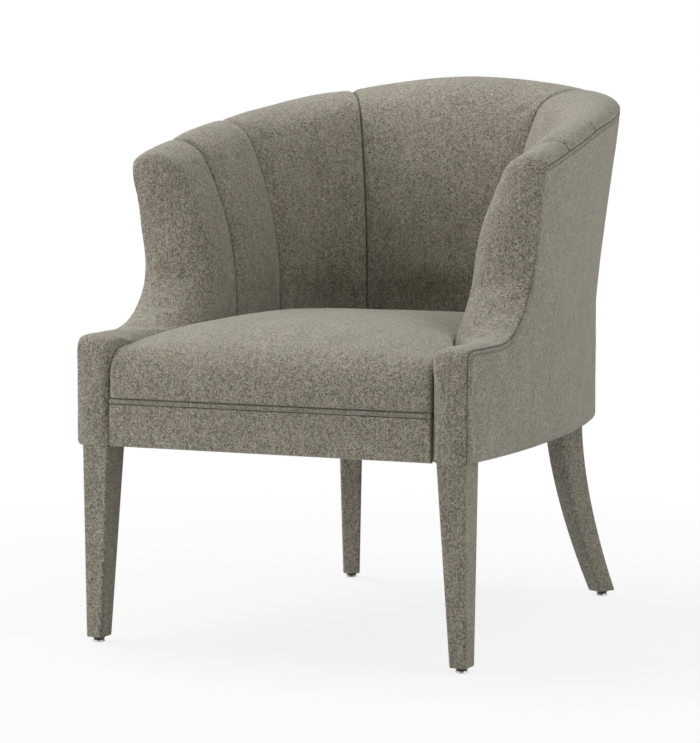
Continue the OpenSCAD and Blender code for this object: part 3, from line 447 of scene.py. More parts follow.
scaled = vector_step(tweed, "SCALE", tweed_in.outputs["Vector"], tweed_in.outputs["Nubs per metre"])
# Knots lie a little taller than wide, as the yarn runs up the cloth, and wander off their rows
stretched = vector_step(tweed, "MULTIPLY", scaled, (1, 1, 0.8))
wander = socket_out(tweed, "ShaderNodeTexNoise", {"Vector": stretched}, {"Scale": 0.4, "Detail": 2.0})
wander = vector_step(tweed, "SUBTRACT", wander.outputs["Color"], (0.5, 0.5, 0.5))
place_of = vector_step(tweed, "ADD", stretched, vector_step(tweed, "SCALE", wander, 1.2))
cells = socket_out(tweed, "ShaderNodeTexVoronoi", {"Vector": place_of}, {"Scale": 1.0}, feature="F1")
nub = maths(tweed, "SUBTRACT", 1.0, maths(tweed, "MULTIPLY", cells.outputs["Distance"], 1.2), True)
fibre = noise_of(tweed, place_of, 1.7, 3.0, 0.7)
height = maths(tweed, "MULTIPLY", maths(tweed, "ADD", nub, fibre), 0.5)
chance = socket_out(tweed, "ShaderNodeSeparateColor", {"Color": cells.outputs["Color"]})
# Long faint streaks where one yarn runs a little paler than the next
streaks = noise_of(tweed, vector_step(tweed, "MULTIPLY", scaled, (1, 1, 0.1)), 0.3, 3.0)
# Grains of fibre, finer than a knot, make the salt and pepper
grains = noise_of(tweed, place_of, 1.7, 3.0, 0.75)
# The tone follows the knots' height as well as chance: lighter tops and darker gaps are partly the yarns' own
# colours, partly painted shade of the relief
tone = maths(tweed, "ADD", maths(tweed, "MULTIPLY", chance.outputs[0], 0.4),
             maths(tweed, "MULTIPLY", height, 0.5))
tone = maths(tweed, "ADD", tone, maths(tweed, "MULTIPLY", streaks, 0.3))
tone = maths(tweed, "ADD", tone, maths(tweed, "MULTIPLY", grains, 2.0))
tone = spread(tweed, tone, 1.28, 1.90)
cloth = blend_colours(tweed, tone, tweed_in.outputs["Dark yarn"], tweed_in.outputs["Light yarn"])
for channel_at, fleck in ((1, (0.26, 0.16, 0.11)), (2, (0.20, 0.21, 0.12))):
    found = maths(tweed, "LESS_THAN", chance.outputs[channel_at], tweed_in.outputs["Flecks"])
    cloth = blend_colours(tweed, maths(tweed, "MULTIPLY", found, 0.35), cloth, fleck)
# Slow drifts: lighter and darker patches, and a little more rust here and olive there
patches = spread(tweed, noise_of(tweed, scaled, 0.035, 3.0), 0.3, 0.7, 0.93, 1.06)
tint = blend_colours(tweed, noise_of(tweed, scaled, 0.08, 3.0), (1.06, 0.99, 0.95), (0.94, 1.01, 1.01))
cloth = vector_step(tweed, "MULTIPLY", vector_step(tweed, "SCALE", cloth, patches), tint)
# Painted shade: the cloth darkens by up to two thirds in the seams
seam_shade = maths(tweed, "SUBTRACT", 1.0, maths(tweed, "MULTIPLY", tweed_in.outputs["Seam"], 0.66))
tweed.links.new(vector_step(tweed, "SCALE", cloth, seam_shade), tweed_out.inputs["Color"])
tweed.links.new(height, tweed_out.inputs["Height"])
tweed.links.new(maths(tweed, "SUBTRACT", 1.0, maths(tweed, "MULTIPLY", height, 0.18)),
                tweed_out.inputs["Roughness"])


# %% Materials
def new_material(name):
    """A material with its Principled shader and its object coordinates."""
    material = bpy.data.materials.new(name)
    material.use_nodes = True
    tree = material.node_tree
    shader = tree.nodes["Principled BSDF"]
    coordinates = tree.nodes.new("ShaderNodeTexCoord").outputs["Object"]
    return material, tree, shader, coordinates


def add_bump(tree, shader, height, distance, strength=1.0):
    """A Bump node on a height, into the shader's normal."""
    bump = socket_out(tree, "ShaderNodeBump", {"Height": height},
                      {"Distance": distance, "Strength": strength})
    tree.links.new(bump.outputs[0], shader.inputs["Normal"])


def grouped_material(name, group, values, relief_m, turn=None):
    """A material whose colour, roughness and relief come from one node group.

    turn rotates the pattern, in degrees about X, Y and Z.
    """
    material, tree, shader, coordinates = new_material(name)
    node = tree.nodes.new("ShaderNodeGroup")
    node.node_tree = group
    for label, value in values.items():
        node.inputs[label].default_value = (*value, 1) if isinstance(value, tuple) else value
    if turn is not None:
        turned = socket_out(tree, "ShaderNodeMapping", {"Vector": coordinates},
                            {"Rotation": [math.radians(angle) for angle in turn]})
        coordinates = turned.outputs[0]
    tree.links.new(coordinates, node.inputs["Vector"])
    tree.links.new(node.outputs["Color"], shader.inputs["Base Color"])
    tree.links.new(node.outputs["Roughness"], shader.inputs["Roughness"])
    add_bump(tree, shader, node.outputs["Height"], relief_m)
    return material, tree, shader, node


def tweed_material(name, light, dark, nubs=600.0, relief_m=0.0012):
    """Tweed of two yarn colours, with the fuzz of wool as sheen."""
    material, tree, shader, node = grouped_material(
        name, tweed, {"Light yarn": light, "Dark yarn": dark, "Nubs per metre": nubs}, relief_m)
    # The seams' painted shade, kept on the mesh as a point attribute
    seam = socket_out(tree, "ShaderNodeAttribute", {}, attribute_name="painted_seam_shade")
    tree.links.new(seam.outputs["Fac"], node.inputs["Seam"])
    shader.inputs["Specular IOR Level"].default_value = 0.2
    shader.inputs["Sheen Weight"].default_value = 0.5
    shader.inputs["Sheen Roughness"].default_value = 0.5
    shader.inputs["Sheen Tint"].default_value = (1, 0.97, 0.88, 1)
    return material


cover_tweed = tweed_material("cover_tweed", (0.51, 0.468, 0.384), (0.082, 0.074, 0.056))
leg_tweed = tweed_material("leg_tweed", (0.49, 0.452, 0.372), (0.078, 0.071, 0.054))


def dress(piece, material, slot, *nodes, fill=None):
    """Gives a piece its material and its body, and hides the CAD parts that it stands for. Its slot is not
    used.
    """
    piece.data.materials.clear()
    piece.data.materials.append(material)
    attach(piece, BODY)
    if nodes:
        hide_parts(*nodes)
    print(piece.name, len(piece.data.polygons), "faces")


# %% Curves through rows
def spline(knots, rows, at):
    """Natural cubic spline through rows at increasing knots.

    Its second slopes solve a tridiagonal system, one equation to a row.
    """
    rows = np.asarray(rows, float)
    h = np.diff(knots)
    n = len(knots)
    system, wanted = np.eye(n), np.zeros((n,) + rows.shape[1:])
    bend = [1] * (rows.ndim - 1)
    slope = np.diff(rows, axis=0) / h.reshape(-1, *bend)
    for k in range(1, n - 1):
        system[k, k - 1:k + 2] = [h[k - 1], 2 * (h[k - 1] + h[k]), h[k]]
        wanted[k] = 6 * (slope[k] - slope[k - 1])
    curve = np.linalg.solve(system, wanted.reshape(n, -1)).reshape(wanted.shape)
    k = np.clip(np.searchsorted(knots, at) - 1, 0, n - 2)
    a = (at - knots[k]).reshape(-1, *bend)
    step = h[k].reshape(-1, *bend)
    b = step - a
    return ((curve[k] * b**3 + curve[k + 1] * a**3) / (6 * step)
            + (rows[k] / step - curve[k] * step / 6) * b
            + (rows[k + 1] / step - curve[k + 1] * step / 6) * a)


def arc(centre, radius, first, last, count):
    """Points of an arc between two angles in degrees."""
    a = np.radians(np.linspace(first, last, count + 1))
    return np.stack([centre[0] + radius * np.cos(a), centre[1] + radius * np.sin(a)], axis=-1)


def chords(points):
    """Length run along a line of points."""
    return np.concatenate([[0], np.cumsum(np.linalg.norm(np.diff(points, axis=0), axis=-1))])


# %% [markdown]
# ## Padding that swells
#
# A real channel is a cover drawn over loose stuffing, so its swell is whatever the cloth
# allows. Blender's Cloth gives that: a coarse copy of the surface is pinned where the
# cover is sewn, pressure pushes it out from behind, and each point's move is carried back
# to the fine grid. Free cloth swells further than a stuffed cover, so the moves are held
# to a few millimetres. The cover's seams are turned in after that, on the swollen form.

# %% Cloth under pressure
PRESSURE, FRAMES = 4, 20


def thinned(at, pitch):
    """Numbers of the places nearest to even steps of about a pitch, both ends included."""
    wanted = np.linspace(0, at[-1], max(3, round(at[-1] / pitch)) + 1)
    return np.unique(np.abs(at[:, None] - wanted).argmin(axis=0))


def settle(show, hidden, most, pitch=9.0):
    """The show grid after stuffing has swelled it.

    A coarse point's move m is cut softly to most * tanh(|m| / most), and splines along
    both ways of the grid carry the moves to the points between.
    """
    rows, columns = chords(show[:, show.shape[1] // 2]), chords(show[show.shape[0] // 2])
    i, j = thinned(rows, pitch), thinned(columns, pitch)
    coarse, out = show[np.ix_(i, j)], (show - hidden)[np.ix_(i, j)].reshape(-1, 3)
    faces = grid_quads(len(i), len(j))
    corners = coarse.reshape(-1, 3)[faces]
    lean = np.cross(corners[:, 2] - corners[:, 0], corners[:, 3] - corners[:, 1]) * out[faces[:, 0]]
    faces = faces if lean.sum() > 0 else faces[:, ::-1]
    mesh = bpy.data.meshes.new("swelling")
    mesh.from_pydata(to_metres(coarse).reshape(-1, 3).tolist(), [], faces.tolist())
    cover = add_object("swelling", mesh)
    sewn = np.ones((len(i), len(j)), bool)
    sewn[1:-1, 1:-1] = False
    cover.vertex_groups.new(name="sewn").add(np.flatnonzero(sewn).tolist(), 1.0, "REPLACE")
    cloth = cover.modifiers.new("stuffing", "CLOTH").settings
    cloth.vertex_group_mass = "sewn"
    cloth.use_pressure = True
    cloth.uniform_pressure_force = PRESSURE
    cloth.effector_weights.gravity = 0
    for step in range(1, FRAMES + 1):
        bpy.context.scene.frame_set(step)
    swollen = cover.evaluated_get(bpy.context.evaluated_depsgraph_get()).data
    place = np.empty(coarse.size, np.float32)
    swollen.vertices.foreach_get("co", place)
    move = (place.reshape(coarse.shape) - to_metres(coarse)) * 1000
    bpy.data.objects.remove(cover)
    bpy.data.meshes.remove(mesh)
    bpy.context.scene.frame_set(1)
    length = np.linalg.norm(move, axis=-1, keepdims=True)
    print("Swelled by up to", round(float(length.max()), 1), "mm, kept to", most)
    move = move * most * np.tanh(length / most) / np.maximum(length, 1e-6)
    move = spline(rows[i], move, rows)
    move = spline(columns[j], np.swapaxes(move, 0, 1), columns)
    return show + np.swapaxes(move, 0, 1)


# %% [markdown]
# ## Rolled edges
#
# Both the channels and the arm's facing come up the inside face, roll over a padded
# edge and end at the outer seam. The roll is a cubic curve: it leaves the inside face
# and reaches the outside face along those faces, so there is no crease at either end.

# %% A rolled edge
def bezier(a, b, c, d, t):
    """Cubic curve from a to d, pulled toward b and c."""
    return (1 - t) ** 3 * a + 3 * (1 - t) ** 2 * t * b + 3 * (1 - t) * t * t * c + t**3 * d


# The roll leaves the outer seam a little inward of the outside face
ROLL_LEAN = 0.3
ROLL_T = np.concatenate([np.linspace(0, 0.93, 26)[1:], [0.95, 0.965, 0.977, 0.986, 0.993, 0.997, 1]])


def edge_section(rim, inward, depth_in, depth_out, wall_c, wall_z, pull=1.5, draw=0.0, start_inward=None):
    """Show and hidden grids across a padded edge: the wall part, then the roll.

    rim and inward are points and directions in (c, z). The roll starts at the last wall
    place and ends depth_out below the rim, drawn in by draw from the outside face. pull
    says how far the curve's last handle reaches back toward the rim.
    """
    start_inward = inward if start_inward is None else start_inward
    count = len(rim)
    pull, draw = np.broadcast_to(pull, count)[:, None], np.broadcast_to(draw, count)[:, None]
    end = rim + inward * depth_out[:, None]
    start_c, start_z = wall_c[:, -1], wall_z[:, -1]
    a = inner(start_c, start_z)
    d = outer(end[:, 0], end[:, 1])
    slope_a = a - inner(start_c + start_inward[:, 0], start_z + start_inward[:, 1])
    slope_d = d - outer(end[:, 0] + inward[:, 0], end[:, 1] + inward[:, 1])
    d = d - outward(end[:, 0], end[:, 1]) * draw
    b = a + slope_a * depth_in[:, None]
    c = d + (slope_d - ROLL_LEAN * outward(end[:, 0], end[:, 1])) * pull * depth_out[:, None]
    t = ROLL_T[None, :, None]
    roll = bezier(a[:, None], b[:, None], c[:, None], d[:, None], t)
    wall = inner(wall_c, wall_z)
    show = np.concatenate([wall, roll], axis=1)
    # Behind the wall the hidden grid lies outward, and in the roll toward its middle
    to_core = unit((a + d)[:, None] / 2 - roll)
    behind = np.concatenate([outward(wall_c, wall_z), to_core], axis=1)
    hidden = show + COVER_T * behind
    return show, hidden, wall.shape[1]


def over_crest(show, split):
    """Share of the roll that lies behind each column: 0 on the wall and 1 at the outer seam."""
    return np.clip((np.arange(show.shape[1]) - split + 1) / (show.shape[1] - split), 0, 1)


# %% [markdown]
# ## The channels
#
# The inside back is sewn into five channels, each stuffed so that it crowns between its
# seams. The crown is a flattened curve, 1 - |2t - 1|^3 across the channel: full over most
# of the width and quick to fall at the seams. It fades out toward the seat, where the
# stuffing ends, and over the crest, where the cover is drawn tight to the outer seam.

# %% Channels
CENTRE_SEAM, REAR_SEAM, WING_SEAM = 766, 440, 310
CHANNELS = {
    "back_channel_centre": (-(BACK_C - CENTRE_SEAM), BACK_C - CENTRE_SEAM, 15),
    "back_channel_left": (BACK_C - CENTRE_SEAM, BACK_C - REAR_SEAM, 16),
    "back_channel_right": (-(BACK_C - REAR_SEAM), -(BACK_C - CENTRE_SEAM), 16),
    "side_channel_left": (BACK_C - REAR_SEAM, BACK_C - WING_SEAM, 10),
    "side_channel_right": (-(BACK_C - WING_SEAM), -(BACK_C - REAR_SEAM), 10),
}
# Sewn seams between channels, and the outer seam, roll in over these widths and depths
SEAM_RADIUS, SEAM_DEPTH = 5.0, 6.5
EDGE_RADIUS, EDGE_DEPTH = 3.5, 3.6
# Over the crest the seams grow wider and deeper by these, in thicker padding, and their painted shade spreads
# wider
RIDGE_WIDER, RIDGE_DEEPER, RIDGE_THICKER, RIDGE_SHADE_SPREAD = 9.0, 3.5, 4, 0.12
CHANNEL_SWELL, FACING_SWELL, SEAT_SWELL = 4.0, 3.0, 4.0
# The inside cover is let down to the roll in this many steps
WALL_STEPS = 80


def channel(low, high, crown):
    """Show and hidden grids of a channel between two places counted from the middle."""
    narrow = high - low < 150
    low, high = low + SEAM_GAP / 2, high - SEAM_GAP / 2
    w = low + spaced(high - low, 3.2, edge=6)
    c = BACK_C - np.abs(w)
    rim = np.stack([c, crest(c)], axis=-1)
    inward = np.tile([0.0, -1.0], (len(w), 1))
    share = np.linspace(0, 1, WALL_STEPS) ** 0.9
    wall_z = mix(CHANNEL_BOTTOM, (crest(c) - ROLL_IN)[:, None], share[None])
    wall_c = np.broadcast_to(c[:, None], wall_z.shape)
    show, hidden, split = edge_section(rim, inward, ROLL_IN * np.ones(len(w)), roll_out(c), wall_c, wall_z,
                                       pull=1.5 - 0.2 * corner_bump(c), draw=corner_bump(c))
    behind = unit(hidden - show)
    across = (w - low) / (high - low)
    over = over_crest(show, split)
    push = (crown * (1 - np.abs(2 * across - 1) ** 3))[:, None] * smooth((show[..., 2] - FLARE_Z) / 60)
    push = push * (1 - over) ** (0.9 if narrow else 1.3)
    away = -outward(c, crest(c) - ROLL_IN)
    turn = np.pi * over[None, :, None]
    up = np.array([0, 0, 0.8 if narrow else 0.45])
    show = show + push[..., None] * (away[:, None] * np.cos(turn) + up * np.sin(turn))
    ridge = np.sin(np.pi * over) ** 2
    hidden = show + (COVER_T + RIDGE_THICKER * ridge[:, None]) * behind
    for grid in (show, hidden):
        grid[..., 0] *= np.sign(w + 1e-9)[:, None]
    show = settle(show, hidden, CHANNEL_SWELL)
    show = soften(show, hidden, 0.5 * smooth(np.minimum(across, 1 - across) * 5)[:, None])
    to_side = np.minimum(w - low, high - w)[:, None] + 0 * push
    to_end = run(show, 1, from_end=True)
    # Over the crest the seams pull deeper and wider, and part the padding like fingers
    wide = RIDGE_WIDER * ridge
    show = pull_in(show, hidden, to_side, SEAM_RADIUS + wide, SEAM_DEPTH + RIDGE_DEEPER * ridge)
    show = pull_in(show, hidden, to_end, EDGE_RADIUS, EDGE_DEPTH)
    # Painted shade along the seams, spread wider over the crest
    return show, hidden, painted_seam_shade(to_side / (1 + RIDGE_SHADE_SPREAD * wide), to_end)


for node, (low, high, crown) in CHANNELS.items():
    made = make_shell("cover_" + node, *channel(low, high, crown))
    dress(made, cover_tweed, "fabric", node, fill=0.9)

# %% [markdown]
# ## The arm's rim
#
# Seen from the side, the arm's rim falls from the crest round the wing's corner, down a
# concave sweep, over the toe and down the post. It is a smooth curve through a few
# measured rows, and each row also says how deep the padded edge reaches in and out.

# %% Rim of the arm
SWEEP_FRONT_Y, SWEEP_R, TOE_Z, TOE_R, WING_R, POST_PROUD = 212, 110, 447, 22, 24, 3
wing_y = WING_FRONT_Y + WING_R
wing_turn = math.degrees(math.atan((crest(wing_y + 5) - crest(wing_y - 5)) / 10))
wing_centre = (wing_y, crest(wing_y) - WING_R / math.cos(math.radians(wing_turn)))
sweep_centre = (SWEEP_FRONT_Y - SWEEP_R, TOE_Z + 2 + SWEEP_R)
toe_centre = (TOE_R - POST_PROUD, TOE_Z - TOE_R)
RIM_TOP_C = WING_SEAM - SEAM_GAP / 2
crest_c = np.linspace(RIM_TOP_C, wing_y, 4)
RIM_PARTS = [
    # points, depth in at both ends, depth out at both ends
    (np.stack([crest_c, crest(crest_c)], axis=-1), ROLL_IN, ROLL_IN, ROLL_OUT, ROLL_OUT),
    (arc(wing_centre, WING_R, 110 + wing_turn, 180, 3), ROLL_IN, ROLL_IN, ROLL_OUT, FRONT_ROLL_OUT),
    (np.array([mix(np.array([WING_FRONT_Y, wing_centre[1]]),
                   np.array([SWEEP_FRONT_Y, sweep_centre[1]]), t) for t in (0.35, 0.7)]),
     ROLL_IN, SWEEP_ROLL_IN, FRONT_ROLL_OUT, FRONT_ROLL_OUT),
    (arc(sweep_centre, SWEEP_R, 0, -86, 6),
     SWEEP_ROLL_IN, TOE_ROLL_IN, FRONT_ROLL_OUT, FRONT_ROLL_OUT),
    (np.array([mix(np.array([sweep_centre[0], TOE_Z + 2]),
                   np.array([toe_centre[0], TOE_Z]), t) for t in (0.35, 0.7)]),
     TOE_ROLL_IN, POST_ROLL_IN, FRONT_ROLL_OUT, FRONT_ROLL_OUT),
    (arc(toe_centre, TOE_R, 90, 180, 3), POST_ROLL_IN, POST_ROLL_IN, FRONT_ROLL_OUT, FRONT_ROLL_OUT),
    (np.array([[-POST_PROUD, z] for z in (404, 379.4, 358, 352, 321, BODY_BOTTOM)]),
     POST_ROLL_IN, POST_ROLL_IN, FRONT_ROLL_OUT, FRONT_ROLL_OUT),
]
LOW_SWEEP_AT, TOE_CORNER_AT, POST_AT = 13, 19, 23
rim_rows = np.concatenate([
    np.column_stack([p, np.linspace(a, b, len(p)), np.linspace(c, d, len(p))])
    for p, a, b, c, d in RIM_PARTS])
rim_knots = chords(rim_rows[:, :2])
rim_at = spaced(rim_knots[-1], 3.2)
rim_line = spline(rim_knots, rim_rows, rim_at)
# Which row each fine point lies at, as a number with a fraction
rim_index = np.interp(rim_at, rim_knots, np.arange(len(rim_rows)))
tangent = unit(np.gradient(rim_line[:, :2], rim_at, axis=0))
rim_normal = np.stack([-tangent[:, 1], tangent[:, 0]], axis=-1)
start_share = np.clip(rim_index / 4, 0, 1)[:, None]
rim_inward = unit(mix(np.array([0.0, -1.0]), rim_normal, start_share))
post_share = smooth(rim_index - POST_AT + 1)[:, None]
rim_inward = unit(mix(rim_inward, np.array([1.0, 0.0]), post_share))
# Inside the wing's tight corner the roll would start in a fold, so its start turns more slowly
weights = np.exp(-0.5 * ((rim_at[:, None] - rim_at[None]) / WING_R) ** 2) * np.gradient(rim_at)[None]
slow_inward = unit(weights @ rim_inward / weights.sum(axis=1, keepdims=True))
start_inward = unit(mix(slow_inward, rim_inward, smooth((rim_index - 9) / 4)[:, None]))
print("Rim:", len(rim_line), "points over", round(rim_knots[-1]), "mm")

# %% [markdown]
# ## The arm's facing
#
# One long cover follows the rim. On the inside it starts at the seam behind the wing and
# lower down behind the seat cushion. It has a slight crown beside that seam, so that both
# sides of the seam roll in, as the sewn channels do.

# %% Facing
FACING_TUCK_Y, TUCK_STEP_Z = 45, 354


def facing_boundary(k, rim_z):
    """Places (c, z) where the facing begins on the inside, for row numbers k."""
    top = np.array([RIM_TOP_C, crest(WING_SEAM) - ROLL_IN - 15])
    low = np.array([RIM_TOP_C, CHANNEL_BOTTOM])
    tuck = np.array([FACING_TUCK_Y, CHANNEL_BOTTOM])
    wing = mix(top, low, np.clip(k / LOW_SWEEP_AT, 0, 1)[:, None])
    seat = mix(low, tuck, np.clip((k - LOW_SWEEP_AT) / (TOE_CORNER_AT - LOW_SWEEP_AT), 0, 1)[:, None])
    post_z = np.minimum(rim_z, CHANNEL_BOTTOM - 2 * (k - TOE_CORNER_AT))
    post_c = np.where(rim_z > TUCK_STEP_Z, FACING_TUCK_Y, 12.0)
    post = np.stack([post_c, post_z], axis=-1)
    return np.where((k <= LOW_SWEEP_AT)[:, None], wing,
                    np.where((k <= TOE_CORNER_AT)[:, None], seat, post))


def wing_draw(z):
    """How far the wing's front seam is drawn in, by height: full between sweep and crest."""
    return 1.8 * smooth((z - 470) / 60) * (1 - smooth((z - 672) / 30))


def facing():
    """Show and hidden grids of the facing."""
    boundary = facing_boundary(rim_index, rim_line[:, 1])
    start = rim_line[:, :2] + start_inward * rim_line[:, 2:3]
    share = np.concatenate([np.linspace(0, 0.06, 8)[:-1], np.linspace(0.06, 1, 56)])
    places = mix(boundary[:, None], start[:, None], share[None, :, None])
    end = rim_line[:, :2] + rim_inward * rim_line[:, 3:4]
    show, hidden, split = edge_section(rim_line[:, :2], rim_inward, rim_line[:, 2], rim_line[:, 3],
                                       places[..., 0], places[..., 1], draw=wing_draw(end[:, 1]),
                                       start_inward=start_inward)
    # Distance to the seam behind the wing, in places along the wall
    roll_c = mix(start[:, None, 0], end[:, None, 0], ROLL_T[None])
    to_seam = RIM_TOP_C - np.concatenate([places[..., 0], roll_c], axis=1)
    over = over_crest(show, split)
    crown = 4 * (1 - np.clip(1 - to_seam / 60, 0, 1) ** 3) * smooth((show[..., 2] - FLARE_Z) / 60)
    crown = crown * (1 - over**3) * smooth((rim_line[:, 1] - 500) / 90)[:, None]
    behind = unit(hidden - show)
    away = -outward(start[:, 0], start[:, 1])[:, None]
    turn = np.pi * over[None, :, None]
    show = show + crown[..., None] * (away * np.cos(turn) + np.array([0, 0, 0.4]) * np.sin(turn))
    ridge = np.sin(np.pi * over) ** 2
    hidden = show + (COVER_T + RIDGE_THICKER * ridge[:, None]) * behind
    show = settle(show, hidden, FACING_SWELL)
    show = soften(show, hidden, 0.5 * smooth(to_seam / 20) + 0 * crown)
    to_end = run(show, 1, from_end=True)
    wide = RIDGE_WIDER * ridge
    show = pull_in(show, hidden, to_seam, SEAM_RADIUS + wide, SEAM_DEPTH + RIDGE_DEEPER * ridge)
    # Where the roll ends just behind the front, a tight seam keeps the panel's edge covered
    tight = mix(0.45, 1, np.clip((rim_line[:, 3:4] - FRONT_ROLL_OUT) / (ROLL_OUT - FRONT_ROLL_OUT), 0, 1))
    show = pull_in(show, hidden, to_end, EDGE_RADIUS * tight, EDGE_DEPTH * tight)
    show = pull_in(show, hidden, show[..., 2] - BODY_BOTTOM, 7)
    # Painted shade along the seams, spread wider over the crest
    return show, hidden, painted_seam_shade(to_seam / (1 + RIDGE_SHADE_SPREAD * wide), to_end)


def dress_both(cover, node, grids, material, slot, fill, wrap=False):
    """Makes and dresses a piece from its grids on the sitter's left, and its mirror image."""
    show, hidden, *dark = grids
    for side, flip in (("left", [1, 1, 1]), ("right", [-1, 1, 1])):
        made = make_shell(f"{cover}_{side}", show * flip, hidden * flip, *dark, wrap=wrap)
        dress(made, material, slot, f"{node}_{side}", fill=fill)


dress_both("cover_arm_facing", "arm_facing", facing(), cover_tweed, "fabric", 0.9)

# %% [markdown]
# ## The outside panels
#
# The outside is flat cloth over thin wadding. A panel is a function of place and height:
# how far it lies under the outside face follows from the distance to the seam. It turns
# in at the seam, dips under the topstitching, and turns under at the bottom edge.

# %% Outside panels
OUTSIDE_SEAM = 690
STITCH_IN = 6.5
PANEL_SEAM_R, PANEL_SEAM_DEPTH, PANEL_CROWN, CORNER_DRAW = 2.6, 4.0, 1.5, 1.5
# Height and half width of the groove that the stitches press, and of the turned edge's ridge
STITCH_GROOVE, TURNED_EDGE = (1.6, 1.3), (0.8, 1.8)
ARM_TOP_C = np.linspace(RIM_TOP_C, OUTSIDE_SEAM - SEAM_GAP / 2, 110)[1:]
upper = rim_at <= np.interp(POST_AT - 1, np.arange(len(rim_rows)), rim_knots)
panel_top = np.concatenate([
    (rim_line[:, :2] + rim_inward * (rim_line[:, 3:4] + SEAM_GAP))[upper][::-1],
    np.stack([ARM_TOP_C, crest(ARM_TOP_C) - roll_out(ARM_TOP_C) - SEAM_GAP], axis=-1)])
# The seam runs along the panel's top and down the post
seam_line = np.concatenate([[[panel_top[0, 0], BODY_BOTTOM]], panel_top])


def seam_distance(c, z, line):
    """Least distance from places (c, z) to a line, worked out in blocks of its segments."""
    p = np.stack([c, z], axis=-1).reshape(-1, 1, 2)
    best = np.full(len(p), 1e9)
    a, b = line[:-1], line[1:]
    for k in range(0, len(a), 40):
        d = (b - a)[None, k:k + 40]
        t = np.clip(((p - a[None, k:k + 40]) * d).sum(-1) / np.maximum((d * d).sum(-1), 1e-9), 0, 1)
        gap = np.linalg.norm(p - a[None, k:k + 40] - t[..., None] * d, axis=-1)
        best = np.minimum(best, gap.min(axis=1))
    return best.reshape(np.shape(c))


def edge_round(c):
    """Radius of the bottom edge: small over the front leg and larger toward the rear."""
    return mix(6.0, 11.0, smooth((c - 60) / 340))


def panel_depth(c, z, to_seam, to_side):
    """Depth under the outside face: bottom edge, seam, topstitching and a slight crown."""
    radius = edge_round(c)
    near_bottom = np.clip(1 - (z - BODY_BOTTOM) / radius, 0, 1)
    bottom = turned_down(z - BODY_BOTTOM, radius, radius)
    to_edge = np.minimum(to_seam, to_side)
    seam = turned_down(to_edge, PANEL_SEAM_R, PANEL_SEAM_DEPTH)
    groove = bell(to_seam, STITCH_IN, *STITCH_GROOVE)
    # The seam's turned edge makes a low ridge between the seam and the stitches
    ridge = bell(to_seam, STITCH_IN / 2, *TURNED_EDGE)
    crown = PANEL_CROWN * (1 - np.exp(-to_edge / 30))
    draw = wing_draw(z) * np.exp(-to_seam / 26) * (c < 420)
    draw = draw + CORNER_DRAW * corner_bump(c) * np.exp(-to_seam / 20)
    return bottom + seam + groove - ridge + draw - crown * (1 - near_bottom)


def panel_face(c, z, line, side_gap):
    """Point on a panel, the way out of it, and its distance to the seam."""
    to_seam = seam_distance(c, z, line)
    face, out = outer(c, z), outward(c, z)
    depth = panel_depth(c, z, to_seam, side_gap(c))
    depth = depth - 0.45 * unevenness(face * 1.3) * smooth(to_seam / 25)
    return face - out * depth[..., None], out, to_seam


def arm_side_gap(c):
    """Distance from an arm's panel to the seam at the back."""
    return OUTSIDE_SEAM - SEAM_GAP / 2 - c


def back_side_gap(c):
    """Distance from the back's panel to the same seam."""
    return c - OUTSIDE_SEAM - SEAM_GAP / 2


def panel(low_c, top, signs, line, side_gap):
    """Show and hidden grids of a panel whose columns run from the bottom to the top line."""
    share = spaced(1.0, 0.013, edge=0.045, fine=0.0022)
    c = mix(low_c[:, None], top[:, None, 0], share[None])
    z = mix(BODY_BOTTOM, top[:, None, 1], share[None])
    show, out, to_seam = panel_face(c, z, line, side_gap)
    hidden = show - out * PANEL_T
    # Painted shade at the seams, and a faint line of painted shade along the stitches' groove
    dark = np.maximum(painted_seam_shade(to_seam, side_gap(c), reach=2.0), bell(to_seam, STITCH_IN, 0.35, 1.1))
    # The cloth turns under the body's edge
    under = show[:, :1] - out[:, :1] * 4 + np.array([0, 0, 0.4])
    show = np.concatenate([under, show], axis=1)
    hidden = np.concatenate([under + np.array([0, 0, 1.2]), hidden], axis=1)
    for grid in (show, hidden):
        grid[..., 0] *= signs[:, None]
    return show, hidden, np.pad(dark, ((0, 0), (1, 0)))


top_c = panel_top[:, 0]
toe_end = int(np.argmax(top_c >= 45))
sweep_top = int(np.argmax((panel_top[:, 1] >= 545) & (top_c > 150)))
wing_end = int(np.argmax(top_c >= 330))
index = np.arange(len(top_c))
# Columns that end on the wing's front lean forward, so that none passes in front of the seam
low_c = np.where((index <= toe_end) | (index >= wing_end), top_c,
                 np.interp(index, [toe_end, sweep_top, wing_end], [top_c[toe_end], 246, top_c[wing_end]]))
arm_panel = panel(low_c, panel_top, np.ones(len(top_c)), seam_line, arm_side_gap)
dress_both("cover_outside_arm", "outside_arm", arm_panel, cover_tweed, "fabric", 1.0)

back_w = spaced(2 * (BACK_C - OUTSIDE_SEAM) - SEAM_GAP, 4.0) - (BACK_C - OUTSIDE_SEAM - SEAM_GAP / 2)
back_c = BACK_C - np.abs(back_w)
back_top = np.stack([back_c, crest(back_c) - roll_out(back_c) - SEAM_GAP], axis=-1)
back_line = back_top[back_w >= 0]
back_panel = panel(back_c, back_top, np.where(back_w < 0, -1.0, 1.0), back_line, back_side_gap)
made = make_shell("cover_outside_back", *back_panel)
dress(made, cover_tweed, "fabric", "outside_back", fill=1.0)

# %% [markdown]
# ## Topstitching
#
# A row of stitches follows the outer seam at a steady distance and holds the seam's
# turned edge down. Each stitch is a short capsule of thread that dips into the cloth at
# both ends. There are hundreds of them, so one has only 22 faces.

# %% Stitches
STITCH_PITCH, STITCH_LENGTH, THREAD_R = 6.0, 4.4, 0.42


